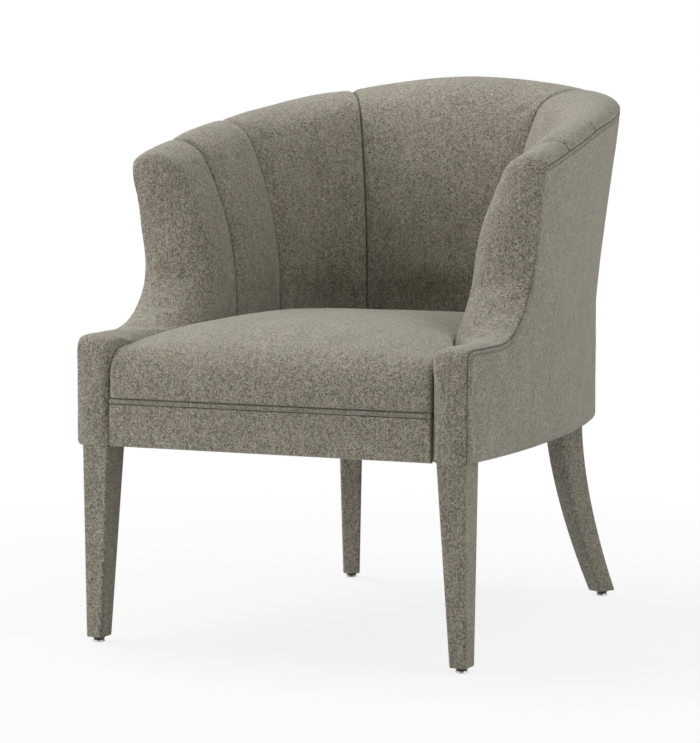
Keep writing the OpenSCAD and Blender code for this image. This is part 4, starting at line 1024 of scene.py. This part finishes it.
def stitch_row(points, out, pitch=STITCH_PITCH, length=STITCH_LENGTH, radius=THREAD_R):
    """Vertices and quads of a row of stitches along a line that lies on a cover.

    At even steps along the line stands a capsule: six-sided rings at four places along
    the line's direction, narrow and sunk at both ends.
    """
    at = chords(points)
    places = np.arange(pitch / 2, at[-1], pitch)
    centre = np.stack([np.interp(places, at, points[:, k]) for k in range(3)], axis=-1)
    up = unit(np.stack([np.interp(places, at, out[:, k]) for k in range(3)], axis=-1))
    slope = np.gradient(points, at, axis=0)
    along = unit(np.stack([np.interp(places, at, slope[:, k]) for k in range(3)], axis=-1))
    side = np.cross(along, up)
    reach = np.array([-0.5, -0.36, 0.36, 0.5])[None, :, None, None] * length
    thick = np.array([0.4, 1, 1, 0.4])[None, :, None, None] * radius
    sink = np.array([-1.3, 0, 0, -1.3])[None, :, None, None] * radius
    a = (np.arange(6) * np.pi / 3)[None, None, :, None]
    rings = (centre[:, None, None] + along[:, None, None] * reach
             + up[:, None, None] * (sink + thick * np.sin(a)) + side[:, None, None] * thick * np.cos(a))
    ends = np.array([[0, 1, 2, 3], [0, 3, 4, 5], [18, 21, 20, 19], [18, 23, 22, 21]])
    one = np.concatenate([grid_quads(4, 6, wrap=True), ends])
    faces = one[None] + 24 * np.arange(len(places))[:, None, None]
    return rings.reshape(-1, 3), faces.reshape(-1, 4)


def joined_rows(rows):
    """Several rows of stitches as one set of vertices and quads."""
    starts = np.cumsum([0] + [len(points) for points, faces in rows])
    return (np.concatenate([points for points, faces in rows]),
            np.concatenate([faces + start for (points, faces), start in zip(rows, starts)]))


def topstitches(line, side_gap):
    """Stitch rows on a panel, STITCH_IN from its seam line in (c, z), on both sides of the chair."""
    tangent = unit(np.gradient(line, chords(line), axis=0))
    row = line + STITCH_IN * np.stack([tangent[:, 1], -tangent[:, 0]], axis=-1)
    row = row[row[:, 1] > BODY_BOTTOM + 4]
    points, out, _ = panel_face(row[:, 0], row[:, 1], line, side_gap)
    points, faces = stitch_row(points + out * 0.15, out)
    return joined_rows([(points, faces), (points * [-1, 1, 1], faces[:, ::-1])])


thread = tweed_material("grey_thread", (0.30, 0.285, 0.24), (0.17, 0.16, 0.13), nubs=1500.0,
                        relief_m=0.0002)
arm_line = np.concatenate([
    np.stack([np.full(30, seam_line[0, 0]), np.linspace(BODY_BOTTOM, seam_line[1, 1], 30)], axis=-1),
    seam_line[2:]])
rows = [topstitches(arm_line, arm_side_gap),
        topstitches(back_line[np.argsort(back_line[:, 0])], back_side_gap)]
for name, (points, faces) in zip(("stitches_outside_arms", "stitches_outside_back"), rows):
    made = make_mesh(name, points, faces)
    dress(made, thread, "seam_fabric")

# %% [markdown]
# ## The seat
#
# The seat is tight: a deck pad with its cover drawn down over the front edge to a double
# seam. The form is a smooth surface through measured rows, from the seam up the front,
# over a soft edge, up to the crown and down a little toward the back.

# %% Seat surface
SEAM_Z, SEAM_BAND = 353, 7
SEAT_EDGE_Z, SEAT_SIDE_Z, SEAT_CROWN_Z, SEAT_SETBACK = 428, 446, 472, 18
SEAT_BOTTOM = 395.0
SHOULDER_R, SHOULDER_DEPTH = 11, 6
# Share of the depth at which the seat is highest
SEAT_PEAK = 0.38
LIP_Z = SEAM_Z + SEAM_BAND / 2 + 0.4
SEAT_BACK = INSIDE_LOW[3] - 0.6


def half_width(outline, y):
    """Half width of an outline at a distance from the front: its side's arc, then its corner's."""
    half, widest_y, side_r, back_y, corner_r = outline
    turn, corner_x = corner_of(outline)
    corner_y = back_y - corner_r
    side = half - side_r + np.sqrt(side_r**2 - (y - widest_y) ** 2)
    round_x = corner_x + np.sqrt(np.maximum(0, corner_r**2 - (y - corner_y) ** 2))
    return np.where(y <= corner_y + corner_r * np.sin(turn), side, round_x)


def seat_half(y):
    """Half width of the seat at a distance from the front, clear of the arms."""
    return half_width(INSIDE_LOW, y) + relief(y) - 0.6


def seat_top(u, y):
    """Height of the seat at a share u across and a distance y from the front."""
    v = (y - SEAT_SETBACK) / (SEAT_BACK - SEAT_SETBACK)
    edge = mix(SEAT_EDGE_Z, SEAT_SIDE_Z, smooth(v * 4))
    rise = np.where(v < SEAT_PEAK, np.sin(np.pi / 2 * np.minimum(v, SEAT_PEAK) / SEAT_PEAK),
                    mix(1, 0.3, smooth((v - SEAT_PEAK) / 0.62)))
    return edge + (SEAT_CROWN_Z - edge) * rise * (1 - np.abs(u) ** 4.5)


def seat():
    """Show and hidden grids of the seat: columns across, rows from the seam to the back."""
    u = (spaced(2 * TOE_HALF, 4.0, edge=12, fine=1.0) - TOE_HALF) / TOE_HALF
    lip = [(0.0, LIP_Z), (-0.4, mix(LIP_Z, SEAT_EDGE_Z, 0.35)), (2.0, mix(LIP_Z, SEAT_EDGE_Z, 0.63)),
           (9.0, mix(LIP_Z, SEAT_EDGE_Z, 0.84))]
    tops = np.array([24, 42, 60, 85, 109, 133, 157, 181, 205, 275, 345, 415, 450, 485, 515, 535, 549.6, 562,
                     570.5, 576, 579.4])
    rows = [point(u * seat_half(np.zeros(1)), y, z) for y, z in lip]
    rows += [point(u * seat_half(np.array([y])), y, seat_top(u, y)) for y in tops]
    rows = np.stack(rows)
    knots = chords(rows[:, len(u) // 2])
    at = spaced(knots[-1], 4.0, edge=12, fine=1.0)
    show = spline(knots, rows, at)
    low = np.maximum(show[..., 1], 14)
    hidden = point(show[..., 0], low, np.minimum(show[..., 2] - 6, SEAT_BOTTOM))
    hidden[show[..., 2] < SEAT_BOTTOM + 8, 2] = show[show[..., 2] < SEAT_BOTTOM + 8, 2]
    return show, hidden, u


show, hidden, seat_u = seat()
side_gap = (1 - np.abs(seat_u))[None] * np.abs(show[:, :1, 0])
show = settle(show, hidden, SEAT_SWELL, pitch=12.0)
show = soften(show, hidden, 0.5 * smooth(side_gap / 40))
show = pull_in(show, hidden, side_gap, SHOULDER_R, SHOULDER_DEPTH)
to_front = run(show, 0)
show = pull_in(show, hidden, to_front, 2.2, 3.5)
# Painted shade in the creases beside the arms and along the front seam
seat_cover = make_shell("cover_seat", show, hidden, painted_seam_shade(side_gap, to_front))
dress(seat_cover, cover_tweed, "fabric", "seat_cushion", fill=0.95)

# %% [markdown]
# ## The band under the seat
#
# Below the seat's cover a plain band closes the front. Between the two lies a strip
# held by two rows of stitches, which reads as the double seam across the front.

# %% Front band and double seam
BAND_HALF = float(seat_half(np.zeros(1))[0]) - 0.2


def front_strip(name, low, high, turn_low, turn_high, bulge):
    """A strip across the front between two heights, with its edges turned in."""
    x = spaced(2 * BAND_HALF, 4.0, edge=8, fine=0.8) - BAND_HALF
    z = low + spaced(high - low, 2.5, edge=min(4.0, (high - low) / 3), fine=0.5)
    xs, zs = np.meshgrid(x, z)
    swell = bulge * (1 - np.abs(2 * (zs - low) / (high - low) - 1) ** 2.5)
    show = point(xs, -swell, zs)
    hidden = point(xs, np.full_like(xs, 6.0), zs)
    show = soften(show, hidden, 0.35 * smooth((BAND_HALF - np.abs(xs)) / 30))
    show = pull_in(show, hidden, zs - low, turn_low)
    show = pull_in(show, hidden, high - zs, turn_high)
    show = pull_in(show, hidden, BAND_HALF - np.abs(xs), 2.5)
    # Painted shade along the top edge and at both ends
    return make_shell(name, show, hidden, painted_seam_shade(high - zs, BAND_HALF - np.abs(xs), reach=1.6))


band = front_strip("cover_front_band", BODY_BOTTOM, SEAM_Z - SEAM_BAND / 2 - 0.4, 4.5, 1.8, 0.8)
dress(band, cover_tweed, "fabric", "front_band", fill=1.0)
strip = front_strip("cover_seam_strip", SEAM_Z - SEAM_BAND / 2, SEAM_Z + SEAM_BAND / 2, 1.6, 1.6, 0.5)
dress(strip, cover_tweed, "seam_fabric", "seat_seam_band", fill=1.0)
x = np.arange(6 - BAND_HALF, BAND_HALF - 6)
rows = [stitch_row(point(x, -0.75, np.full_like(x, z)), point(0 * x, -1, 0))
        for z in (SEAM_Z - SEAM_BAND / 4, SEAM_Z + SEAM_BAND / 4)]
made = make_mesh("stitches_double_seam", *joined_rows(rows))
dress(made, thread, "seam_fabric")

# %% [markdown]
# ## The legs
#
# Each leg is a wooden core in a fabric sleeve. A sleeve is a rounded rectangle carried up
# the leg: the front ones taper on three faces, and the rear ones sweep back and out.

# %% Leg sleeves
LEG_BOTTOM, LEG_TOP = 8.0, BODY_BOTTOM - 0.4


def ring(count=9, sides=8):
    """Corner signs and outward directions round a rounded rectangle."""
    corner = np.array([(1, 1), (-1, 1), (-1, -1), (1, -1)], float)
    signs, turns = [], []
    for k in range(4):
        a = np.radians(90 * k + np.linspace(0, 90, count))
        signs.append(np.repeat(corner[k:k + 1], count, axis=0))
        turns.append(np.stack([np.cos(a), np.sin(a)], axis=-1))
        after = corner[(k + 1) % 4]
        t = (np.arange(1, sides) / sides)[:, None]
        signs.append(mix(corner[k], after, t))
        turns.append(np.repeat(turns[-1][-1:], sides - 1, axis=0))
    return np.concatenate(signs), np.concatenate(turns)


RING_SIGNS, RING_TURNS = ring()


def sleeve(centre, half, turn_degrees, z, skin=1.5, radius=4.0):
    """Show and hidden grids of a sleeve: rounded rectangles of half sizes at each height."""
    def rings(inset, levels, middle, size):
        r = np.full((len(levels), 1, 1), max(radius - inset, 0.6))
        p = RING_SIGNS[None] * (size[:, None] - inset - r) + RING_TURNS[None] * r
        a = math.radians(turn_degrees)
        x = p[..., 0] * math.cos(a) + p[..., 1] * math.sin(a)
        y = -p[..., 0] * math.sin(a) + p[..., 1] * math.cos(a)
        return point(x + middle[:, None, 0], y + middle[:, None, 1],
                     np.broadcast_to(levels[:, None], x.shape))
    body_show, body_hidden = rings(0, z, centre, half), rings(skin, z, centre, half)
    # The cloth is rounded at the foot and turned under the leg
    drop = turned_down(z - LEG_BOTTOM, 3, 1.2)
    body_show = body_show + unit(body_hidden - body_show) * drop[:, None, None]
    first = slice(0, 1)
    under_show = rings(7, z[first], centre[first], half[first])
    under_hidden = rings(7, z[first] + 0.6, centre[first], half[first])
    body_hidden[0, :, 2] += 0.6
    return (np.concatenate([under_show, body_show]), np.concatenate([under_hidden, body_hidden]))


leg_z = np.concatenate([LEG_BOTTOM + np.array([0, 0.3, 0.8, 1.5, 2.2, 3, 4.5]),
                        np.linspace(LEG_BOTTOM + 8, LEG_TOP, 50)])
leg_level = (leg_z - LEG_BOTTOM) / (BODY_BOTTOM - LEG_BOTTOM)
front_x = np.stack([299 - mix(26, 43, leg_level), np.full_like(leg_z, 299)])
front_y = np.stack([mix(12, 5, leg_level), mix(12 + 31, 5 + 50, leg_level)])
front_centre = np.stack([front_x.mean(0), front_y.mean(0)], axis=-1)
front_half = np.stack([np.ptp(front_x, axis=0), np.ptp(front_y, axis=0)], axis=-1) / 2
front_sleeve = sleeve(front_centre, front_half, 0, leg_z)

REAR_LEG, REAR_TURN, REAR_SWEEP = (184.0, 658.0), 25.0, 86.0
sweep = REAR_SWEEP * np.maximum(0, 1 - leg_level) ** 1.6
turn = math.radians(REAR_TURN)
rear_centre = np.array(REAR_LEG) + sweep[:, None] * np.array([math.sin(turn), math.cos(turn)])
rear_half = np.stack([mix(27, 39, leg_level * 280 / 281.6), mix(34, 48, leg_level)], axis=-1) / 2
rear_sleeve = sleeve(rear_centre, rear_half, REAR_TURN, leg_z)

dress_both("sleeve_front_leg_cover", "front_leg_cover", front_sleeve, leg_tweed, "leg_fabric", 1.0, True)
dress_both("sleeve_rear_leg_cover", "rear_leg_cover", rear_sleeve, leg_tweed, "leg_fabric", 1.0, True)

# %% [markdown]
# ## Deck, foam and dust cover
#
# Under the seat's cover lies a block of foam on a canvas that is stretched over the
# springs. The canvas follows their arch and dips a little between them. Below the rails
# a black dust cover closes the body. It is cut round the legs, hangs slightly, and a row
# of staples holds it. All three are sheets or pads that the solids only stand for.

# %% Deck canvas
DECK_Z, DECK_ARCH, DECK_INSET, DECK_HALF, DECK_T = 353.2, 11.0, 27.8, 248, 2
SPRING_PITCH = 94.5


def inset_outline(outline, gap):
    """An outline moved inward by a gap: only its half width, its back and its radii change."""
    half, widest_y, side_r, back_y, corner_r = outline
    return half - gap, widest_y, side_r - gap, back_y - gap, corner_r - gap


def deck_z(y):
    """Height of the deck's underside: half a sine wave from the front rail to the back rail."""
    return DECK_Z + DECK_ARCH * np.sin(np.pi * np.clip((y - 24.6) / 668, 0, 1))


def sheet_rows(y, half, columns):
    """x and y of a sheet's grid: each row is as wide as its half width says."""
    u = np.linspace(-1, 1, columns)
    return u[None] * half[:, None], np.repeat(y[:, None], columns, axis=1)


deck_outline = inset_outline(OUTSIDE_LOW, DECK_INSET)
corner_turns = np.radians(np.linspace(22, 88, 14))
y = np.concatenate([np.linspace(18.6, 648, 110),
                    deck_outline[3] - deck_outline[4] * (1 - np.sin(corner_turns))])
half = np.minimum(DECK_HALF, half_width(deck_outline, y))
x, y_grid = sheet_rows(y, half, 91)
dip = 1.2 * (1 - np.cos(2 * np.pi * x / SPRING_PITCH)) / 2 * smooth((y_grid - 60) / 80)
dip = dip * smooth((640 - y_grid) / 80) * (np.abs(x) < 2 * SPRING_PITCH)
top = point(x, y_grid, deck_z(y_grid) + DECK_T - dip)
deck = make_shell("deck_canvas", top, top - [0, 0, DECK_T])

# %% Foam block
FOAM_FRONT, FOAM_LENGTH, FOAM_TOP, FOAM_ROUND = 21, 552.4, 394.6, 5
y = FOAM_FRONT + spaced(FOAM_LENGTH, 8.0, edge=8, fine=1.0)
half = seat_half(y) - 8
x, y_grid = sheet_rows(y, half, 81)
# Cut foam has slightly rounded edges
edge = np.minimum(np.abs(half[:, None]) - np.abs(x),
                  np.minimum(y_grid - FOAM_FRONT, FOAM_FRONT + FOAM_LENGTH - y_grid))
foam_top = point(x, y_grid, FOAM_TOP - turned_down(edge, FOAM_ROUND, FOAM_ROUND))
foam = make_shell("seat_foam_block", foam_top, point(x, y_grid, deck_z(y_grid) + 2.4))

# %% Dust cover and its staples
DUST_INSET, DUST_T = 13.5, 1.2
FRONT_CUT, FRONT_CUT_Y = 255.0, 62.4
REAR_CUT = (153.5, 643.5)


def dust_half(y):
    """Half width of the dust cover: the body's outline, less the square cuts round the legs."""
    half = half_width(inset_outline(OUTSIDE_LOW, DUST_INSET), y)
    slope = math.tan(math.radians(25))
    behind = REAR_CUT[0] + np.where(y < REAR_CUT[1], (REAR_CUT[1] - y) / slope, (y - REAR_CUT[1]) * slope)
    half = np.where(y > 560, np.minimum(half, behind), half)
    return np.where(y < FRONT_CUT_Y + 0.1, np.minimum(half, FRONT_CUT), half)


y = np.concatenate([np.linspace(20, FRONT_CUT_Y, 9), np.linspace(FRONT_CUT_Y + 0.8, 600, 80),
                    np.linspace(604, REAR_CUT[1], 12), np.linspace(648, 697, 12)])
half = dust_half(y)
x, y_grid = sheet_rows(y, half, 81)
inside = np.minimum(half[:, None] - np.abs(x), np.minimum(y_grid - 20, 697 - y_grid))
low = point(x, y_grid, BODY_BOTTOM + 0.4 + 0 * x)
hang = smooth(inside / 120) * (2.2 + 0.9 * unevenness(low))
low[..., 2] -= hang
dust = make_shell("dust_cover_cloth", low, low + [0, 0, DUST_T])

edge_y = np.linspace(70, 596, 60)
lines = [point(np.linspace(-240, 240, 40), 26, BODY_BOTTOM),
         point(np.linspace(-148, 148, 40), 690, BODY_BOTTOM),
         point(dust_half(edge_y) - 7, edge_y, BODY_BOTTOM), point(7 - dust_half(edge_y), edge_y, BODY_BOTTOM)]
rows = [stitch_row(line, line * 0 + [0, 0, -1], 42, 11, 0.55) for line in lines]
staples = make_mesh("dust_cover_staples", *joined_rows(rows))

# %% [markdown]
# ## Wood, metal, plastic and plain cloth
#
# The frame, the fasteners and the glides keep their CAD shapes and get finishes. Each
# finish is a node group, used by several materials with their own colours: planed birch
# with its grain along the board, rolled or plated metal with faint marks, moulded nylon,
# plain-woven canvas, pressed fibre cloth and open-cell foam.

# %% Finish groups
FINISH_OUT = [("Color", "NodeSocketColor"), ("Roughness", "NodeSocketFloat"), ("Height", "NodeSocketFloat")]


def finish_group(name, colours, count_label, count):
    """A group with a Vector, named colours and a number of marks per metre.

    The last thing that it gives back is the place on the piece, counted in marks.
    """
    inputs = [("Vector", "NodeSocketVector", None)]
    inputs += [(label, "NodeSocketColor", (*colour, 1)) for label, colour in colours]
    group, into, out = new_group(name, inputs + [(count_label, "NodeSocketFloat", count)], FINISH_OUT)
    place = vector_step(group, "SCALE", into.outputs["Vector"], into.outputs[count_label])
    return group, into, out, place


def put_out(group, out, colour, roughness, height):
    """Links a finish's colour, roughness and height to the group's outputs."""
    for label, source in (("Color", colour), ("Roughness", roughness), ("Height", height)):
        group.links.new(source, out.inputs[label])


# Wood: noise stretched along the board gives the growth streaks, a finer one the pores
wood, into, out, place = finish_group(
    "wood_grain", [("Pale wood", (0.66, 0.49, 0.31)), ("Dark wood", (0.50, 0.34, 0.19))],
    "Streaks per metre", 90.0)
wavy = noise_of(wood, vector_step(wood, "MULTIPLY", place, (0.25, 0.25, 0.04)), 1.0, 2.0)
place = vector_step(wood, "ADD", vector_step(wood, "MULTIPLY", place, (1, 1, 0.05)), wavy)
streak = spread(wood, noise_of(wood, place, 1.0, 5.0, 0.6), 0.32, 0.68)
pores = noise_of(wood, place, 9.0, 2.0)
colour = blend_colours(wood, streak, into.outputs["Pale wood"], into.outputs["Dark wood"])
colour = vector_step(wood, "SCALE", colour, spread(wood, pores, 0.3, 0.6, 0.86, 1.03))
put_out(wood, out, colour, spread(wood, streak, 0, 1, 0.55, 0.72), pores)

# Metal: dull patches, and fine marks drawn one way
metal, into, out, place = finish_group(
    "marked_metal", [("Bright metal", (0.62, 0.62, 0.6)), ("Dull metal", (0.4, 0.4, 0.4))],
    "Marks per metre", 1200.0)
patch = spread(metal, noise_of(metal, place, 0.06, 4.0), 0.35, 0.65)
marks = noise_of(metal, vector_step(metal, "MULTIPLY", place, (1, 0.08, 0.3)), 1.0, 2.0)
rough = maths(metal, "ADD", spread(metal, patch, 0, 1, 0.26, 0.46), maths(metal, "MULTIPLY", marks, 0.12))
put_out(metal, out, blend_colours(metal, patch, into.outputs["Bright metal"], into.outputs["Dull metal"]),
        rough, marks)

# Plastic: a fine even grain from the mould, and a slow drift of gloss
plastic, into, out, place = finish_group(
    "moulded_plastic", [("Plastic", (0.03, 0.03, 0.032))], "Grains per metre", 2600.0)
grain = noise_of(plastic, place, 1.0, 2.0)
drift = noise_of(plastic, place, 0.02, 2.0)
colour = vector_step(plastic, "SCALE", into.outputs["Plastic"], spread(plastic, drift, 0, 1, 0.85, 1.2))
put_out(plastic, out, colour,
        spread(plastic, drift, 0.3, 0.7, 0.42, 0.6), grain)

# Plain weave: warp and weft pass over each other by turns, like the squares of a chessboard
weave, into, out, place = finish_group(
    "plain_weave", [("Warp", (0.55, 0.49, 0.38)), ("Weft", (0.47, 0.41, 0.31))], "Threads per metre", 900.0)
axes = socket_out(weave, "ShaderNodeSeparateXYZ", {"Vector": place})
waves = [maths(weave, "SINE", maths(weave, "MULTIPLY", axes.outputs[k], math.pi)) for k in (0, 1)]
on_top = maths(weave, "GREATER_THAN", maths(weave, "MULTIPLY", waves[0], waves[1]), 0.0)
ridges = [maths(weave, "ABSOLUTE", wave) for wave in waves]
height = maths(weave, "ADD", maths(weave, "MULTIPLY", ridges[0], on_top),
               maths(weave, "MULTIPLY", ridges[1], maths(weave, "SUBTRACT", 1.0, on_top)))
colour = blend_colours(weave, on_top, into.outputs["Warp"], into.outputs["Weft"])
slubs = noise_of(weave, vector_step(weave, "MULTIPLY", place, (1, 0.08, 1)), 0.5, 3.0)
put_out(weave, out, vector_step(weave, "SCALE", colour, spread(weave, slubs, 0.3, 0.7, 0.8, 1.1)),
        spread(weave, height, 0, 1, 0.95, 0.8), height)

# Pressed fibres: long thin noise laid two ways
felt, into, out, place = finish_group(
    "pressed_fibres", [("Fibre", (0.035, 0.035, 0.037))], "Fibres per metre", 1100.0)
one_way = noise_of(felt, vector_step(felt, "MULTIPLY", place, (1, 0.12, 1)), 1.0, 3.0, 0.7)
other_way = noise_of(felt, vector_step(felt, "MULTIPLY", place, (0.12, 1, 1)), 1.0, 3.0, 0.7)
height = maths(felt, "MAXIMUM", one_way, other_way)
colour = vector_step(felt, "SCALE", into.outputs["Fibre"], spread(felt, height, 0.4, 0.75, 0.6, 1.9))
put_out(felt, out, colour,
        spread(felt, height, 0.4, 0.75, 0.95, 0.75), height)

# Foam: small open cells, with painted shade in their hollows
cells_of, into, out, place = finish_group(
    "open_cells", [("Wall", (0.86, 0.78, 0.54)), ("Hollow shade", (0.55, 0.47, 0.28))], "Cells per metre", 900.0)
found = socket_out(cells_of, "ShaderNodeTexVoronoi", {"Vector": place}, {"Scale": 1.0}, feature="F1")
height = spread(cells_of, found.outputs["Distance"], 0.1, 0.7)
put_out(cells_of, out, blend_colours(cells_of, height, into.outputs["Hollow shade"], into.outputs["Wall"]),
        spread(cells_of, height, 0, 1, 1.0, 0.85), height)

# %% Finishes of the inside pieces
canvas = grouped_material("deck_canvas_weave", weave, {}, 0.0004)[0]
foam_finish = grouped_material("cream_foam", cells_of, {}, 0.0006)[0]
black_cloth = grouped_material("black_dust_cloth", felt, {}, 0.0003)[0]
dress(deck, canvas, "deck_canvas", "seat_deck")
dress(foam, foam_finish, "foam", "seat_foam", fill=1.0)
dress(dust, black_cloth, "dust_cloth", "dust_cover")

# %% Finishes of the frame
ALONG_X, ALONG_Y = (0, 90, 0), (90, 0, 0)
METAL = {"zinc_plate": ((0.62, 0.62, 0.58), (0.42, 0.42, 0.41)),
         "spring_steel": ((0.24, 0.24, 0.25), (0.13, 0.125, 0.12)),
         "nickel_plate": ((0.66, 0.63, 0.58), (0.44, 0.42, 0.39))}


def metal_material(name):
    """Plated or bare steel in its two colours."""
    bright, dull = METAL[name]
    material, tree, shader, node = grouped_material(
        name, metal, {"Bright metal": bright, "Dull metal": dull}, 0.00005)
    shader.inputs["Metallic"].default_value = 1.0
    return material


birch_across = grouped_material("birch_across", wood, {}, 0.0002, turn=ALONG_X)[0]
birch_lengthwise = grouped_material("birch_lengthwise", wood, {}, 0.0002, turn=ALONG_Y)[0]
birch_upright = grouped_material("birch_upright", wood, {}, 0.0002)[0]
zinc, spring_steel, nickel = (metal_material(name) for name in METAL)
nylon = grouped_material("black_nylon", plastic, {}, 0.0001)[0]
FINISHES = [
    (birch_across, ["front_rail", "back_rail", "top_rail", "corner_blocks"]),
    (birch_lengthwise, ["side_rail_left", "side_rail_right"]),
    (birch_upright, ["front_post_left", "front_post_right", "wing_board_left", "wing_board_right",
                     "back_uprights", "front_leg_left", "front_leg_right", "rear_leg_left",
                     "rear_leg_right"]),
    (spring_steel, ["seat_springs"]),
    (zinc, ["spring_clips", "frame_screws", "leg_bolts", "leg_nuts"]),
    (nylon, ["glide_sockets"]),
    (nickel, ["glide_front_left", "glide_front_right", "glide_rear_left", "glide_rear_right"]),
]
for material, nodes in FINISHES:
    for node in nodes:
        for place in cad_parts[node].material_slots:
            place.material = material
    print(material.name, "on", len(nodes), "nodes")
dress(staples, zinc, "hardware_steel")

# %% [markdown]
# ## Studio
#
# A plain pale floor, soft lamps overhead, at the right and low at the left, and an even
# surround, with the camera where the photograph was taken. The low lamp grazes the front
# and brings out the wool's grain. The white background is only for what looks at it.

# %% Camera
camera_data = bpy.data.cameras.new("camera")
camera_data.sensor_width = 36
camera_data.lens = 144.63
camera = add_object("camera", camera_data)
# Its lens, place and direction were worked out from the photograph's perspective
turn, dip = math.radians(25.64), math.radians(4.85)
camera.location = (1.8908, -3.6684 - MIDDLE_Y * 0.001, 0.7545)
camera.rotation_euler = (math.pi / 2 - dip, 0, turn)
bpy.context.scene.camera = camera

# %% Floor, surround and lamps
floor_mesh = bpy.data.meshes.new("floor")
floor_mesh.from_pydata([(-12, -12, 0), (12, -12, 0), (12, 12, 0), (-12, 12, 0)], [], [(0, 1, 2, 3)])
floor = add_object("floor", floor_mesh)
material = bpy.data.materials.new("pale_floor")
material.use_nodes = True
tree = material.node_tree
shader = tree.nodes["Principled BSDF"]
shader.inputs["Base Color"].default_value = (0.82, 0.82, 0.81, 1)
shader.inputs["Roughness"].default_value = 0.9
shader.inputs["Specular IOR Level"].default_value = 0.1


def seen_directly(tree):
    """1 for rays from the camera, and for those that a mirror or glass sends on."""
    rays = tree.nodes.new("ShaderNodeLightPath")
    seen = maths(tree, "MAXIMUM", rays.outputs["Is Camera Ray"], rays.outputs["Is Glossy Ray"])
    return maths(tree, "MAXIMUM", seen, rays.outputs["Is Transmission Ray"])


glow = socket_out(tree, "ShaderNodeEmission", {}, {"Color": (1, 1, 1, 1), "Strength": 1.0})
# Away from the chair the floor fades into the white surround, so no horizon shows
place = tree.nodes.new("ShaderNodeTexCoord").outputs["Object"]
away = socket_out(tree, "ShaderNodeVectorMath", {0: place}, operation="LENGTH").outputs["Value"]
share = maths(tree, "MULTIPLY", seen_directly(tree), spread(tree, away, 0.5, 1.6, 0.84, 1.0))
joined = socket_out(tree, "ShaderNodeMixShader", {0: share, 1: shader.outputs[0], 2: glow.outputs[0]})
tree.links.new(joined.outputs[0], tree.nodes["Material Output"].inputs["Surface"])
floor_mesh.materials.append(material)

world = bpy.data.worlds.new("surround")
bpy.context.scene.world = world
world.use_nodes = True
tree = world.node_tree
even = tree.nodes["Background"]
even.inputs["Color"].default_value = (1, 1, 1, 1)
even.inputs["Strength"].default_value = 0.23
white = socket_out(tree, "ShaderNodeBackground", {}, {"Color": (1, 1, 1, 1), "Strength": 1.0})
joined = socket_out(tree, "ShaderNodeMixShader", {0: seen_directly(tree), 1: even.outputs[0],
                                                  2: white.outputs[0]})
tree.links.new(joined.outputs[0], tree.nodes["World Output"].inputs["Surface"])


def soft_lamp(name, place, target, size, watts):
    """A square area lamp at a place, facing a target."""
    data = bpy.data.lights.new(name, "AREA")
    data.shape = "SQUARE"
    data.size = size
    data.energy = watts
    lamp = add_object(name, data)
    lamp.location = place
    direction = np.array(target, float) - np.array(place, float)
    flat = math.hypot(direction[0], direction[1])
    lamp.rotation_euler = (math.atan2(flat, -direction[2]), 0, math.atan2(-direction[0], direction[1]))
    return lamp


soft_lamp("overhead_left", (-1.4, 0, 2.5), (0, 0, 0.4), 1.6, 42)
soft_lamp("overhead_right", (1.4, 0, 2.5), (0, 0, 0.4), 1.6, 13)
soft_lamp("right", (3.0, -0.4, 1.5), (0, 0, 0.4), 1.8, 22)
soft_lamp("low_left", (-2.5, -2.5, 0.7), (0, 0, 0.4), 1.2, 49)
bpy.context.scene.view_settings.view_transform = "Standard"
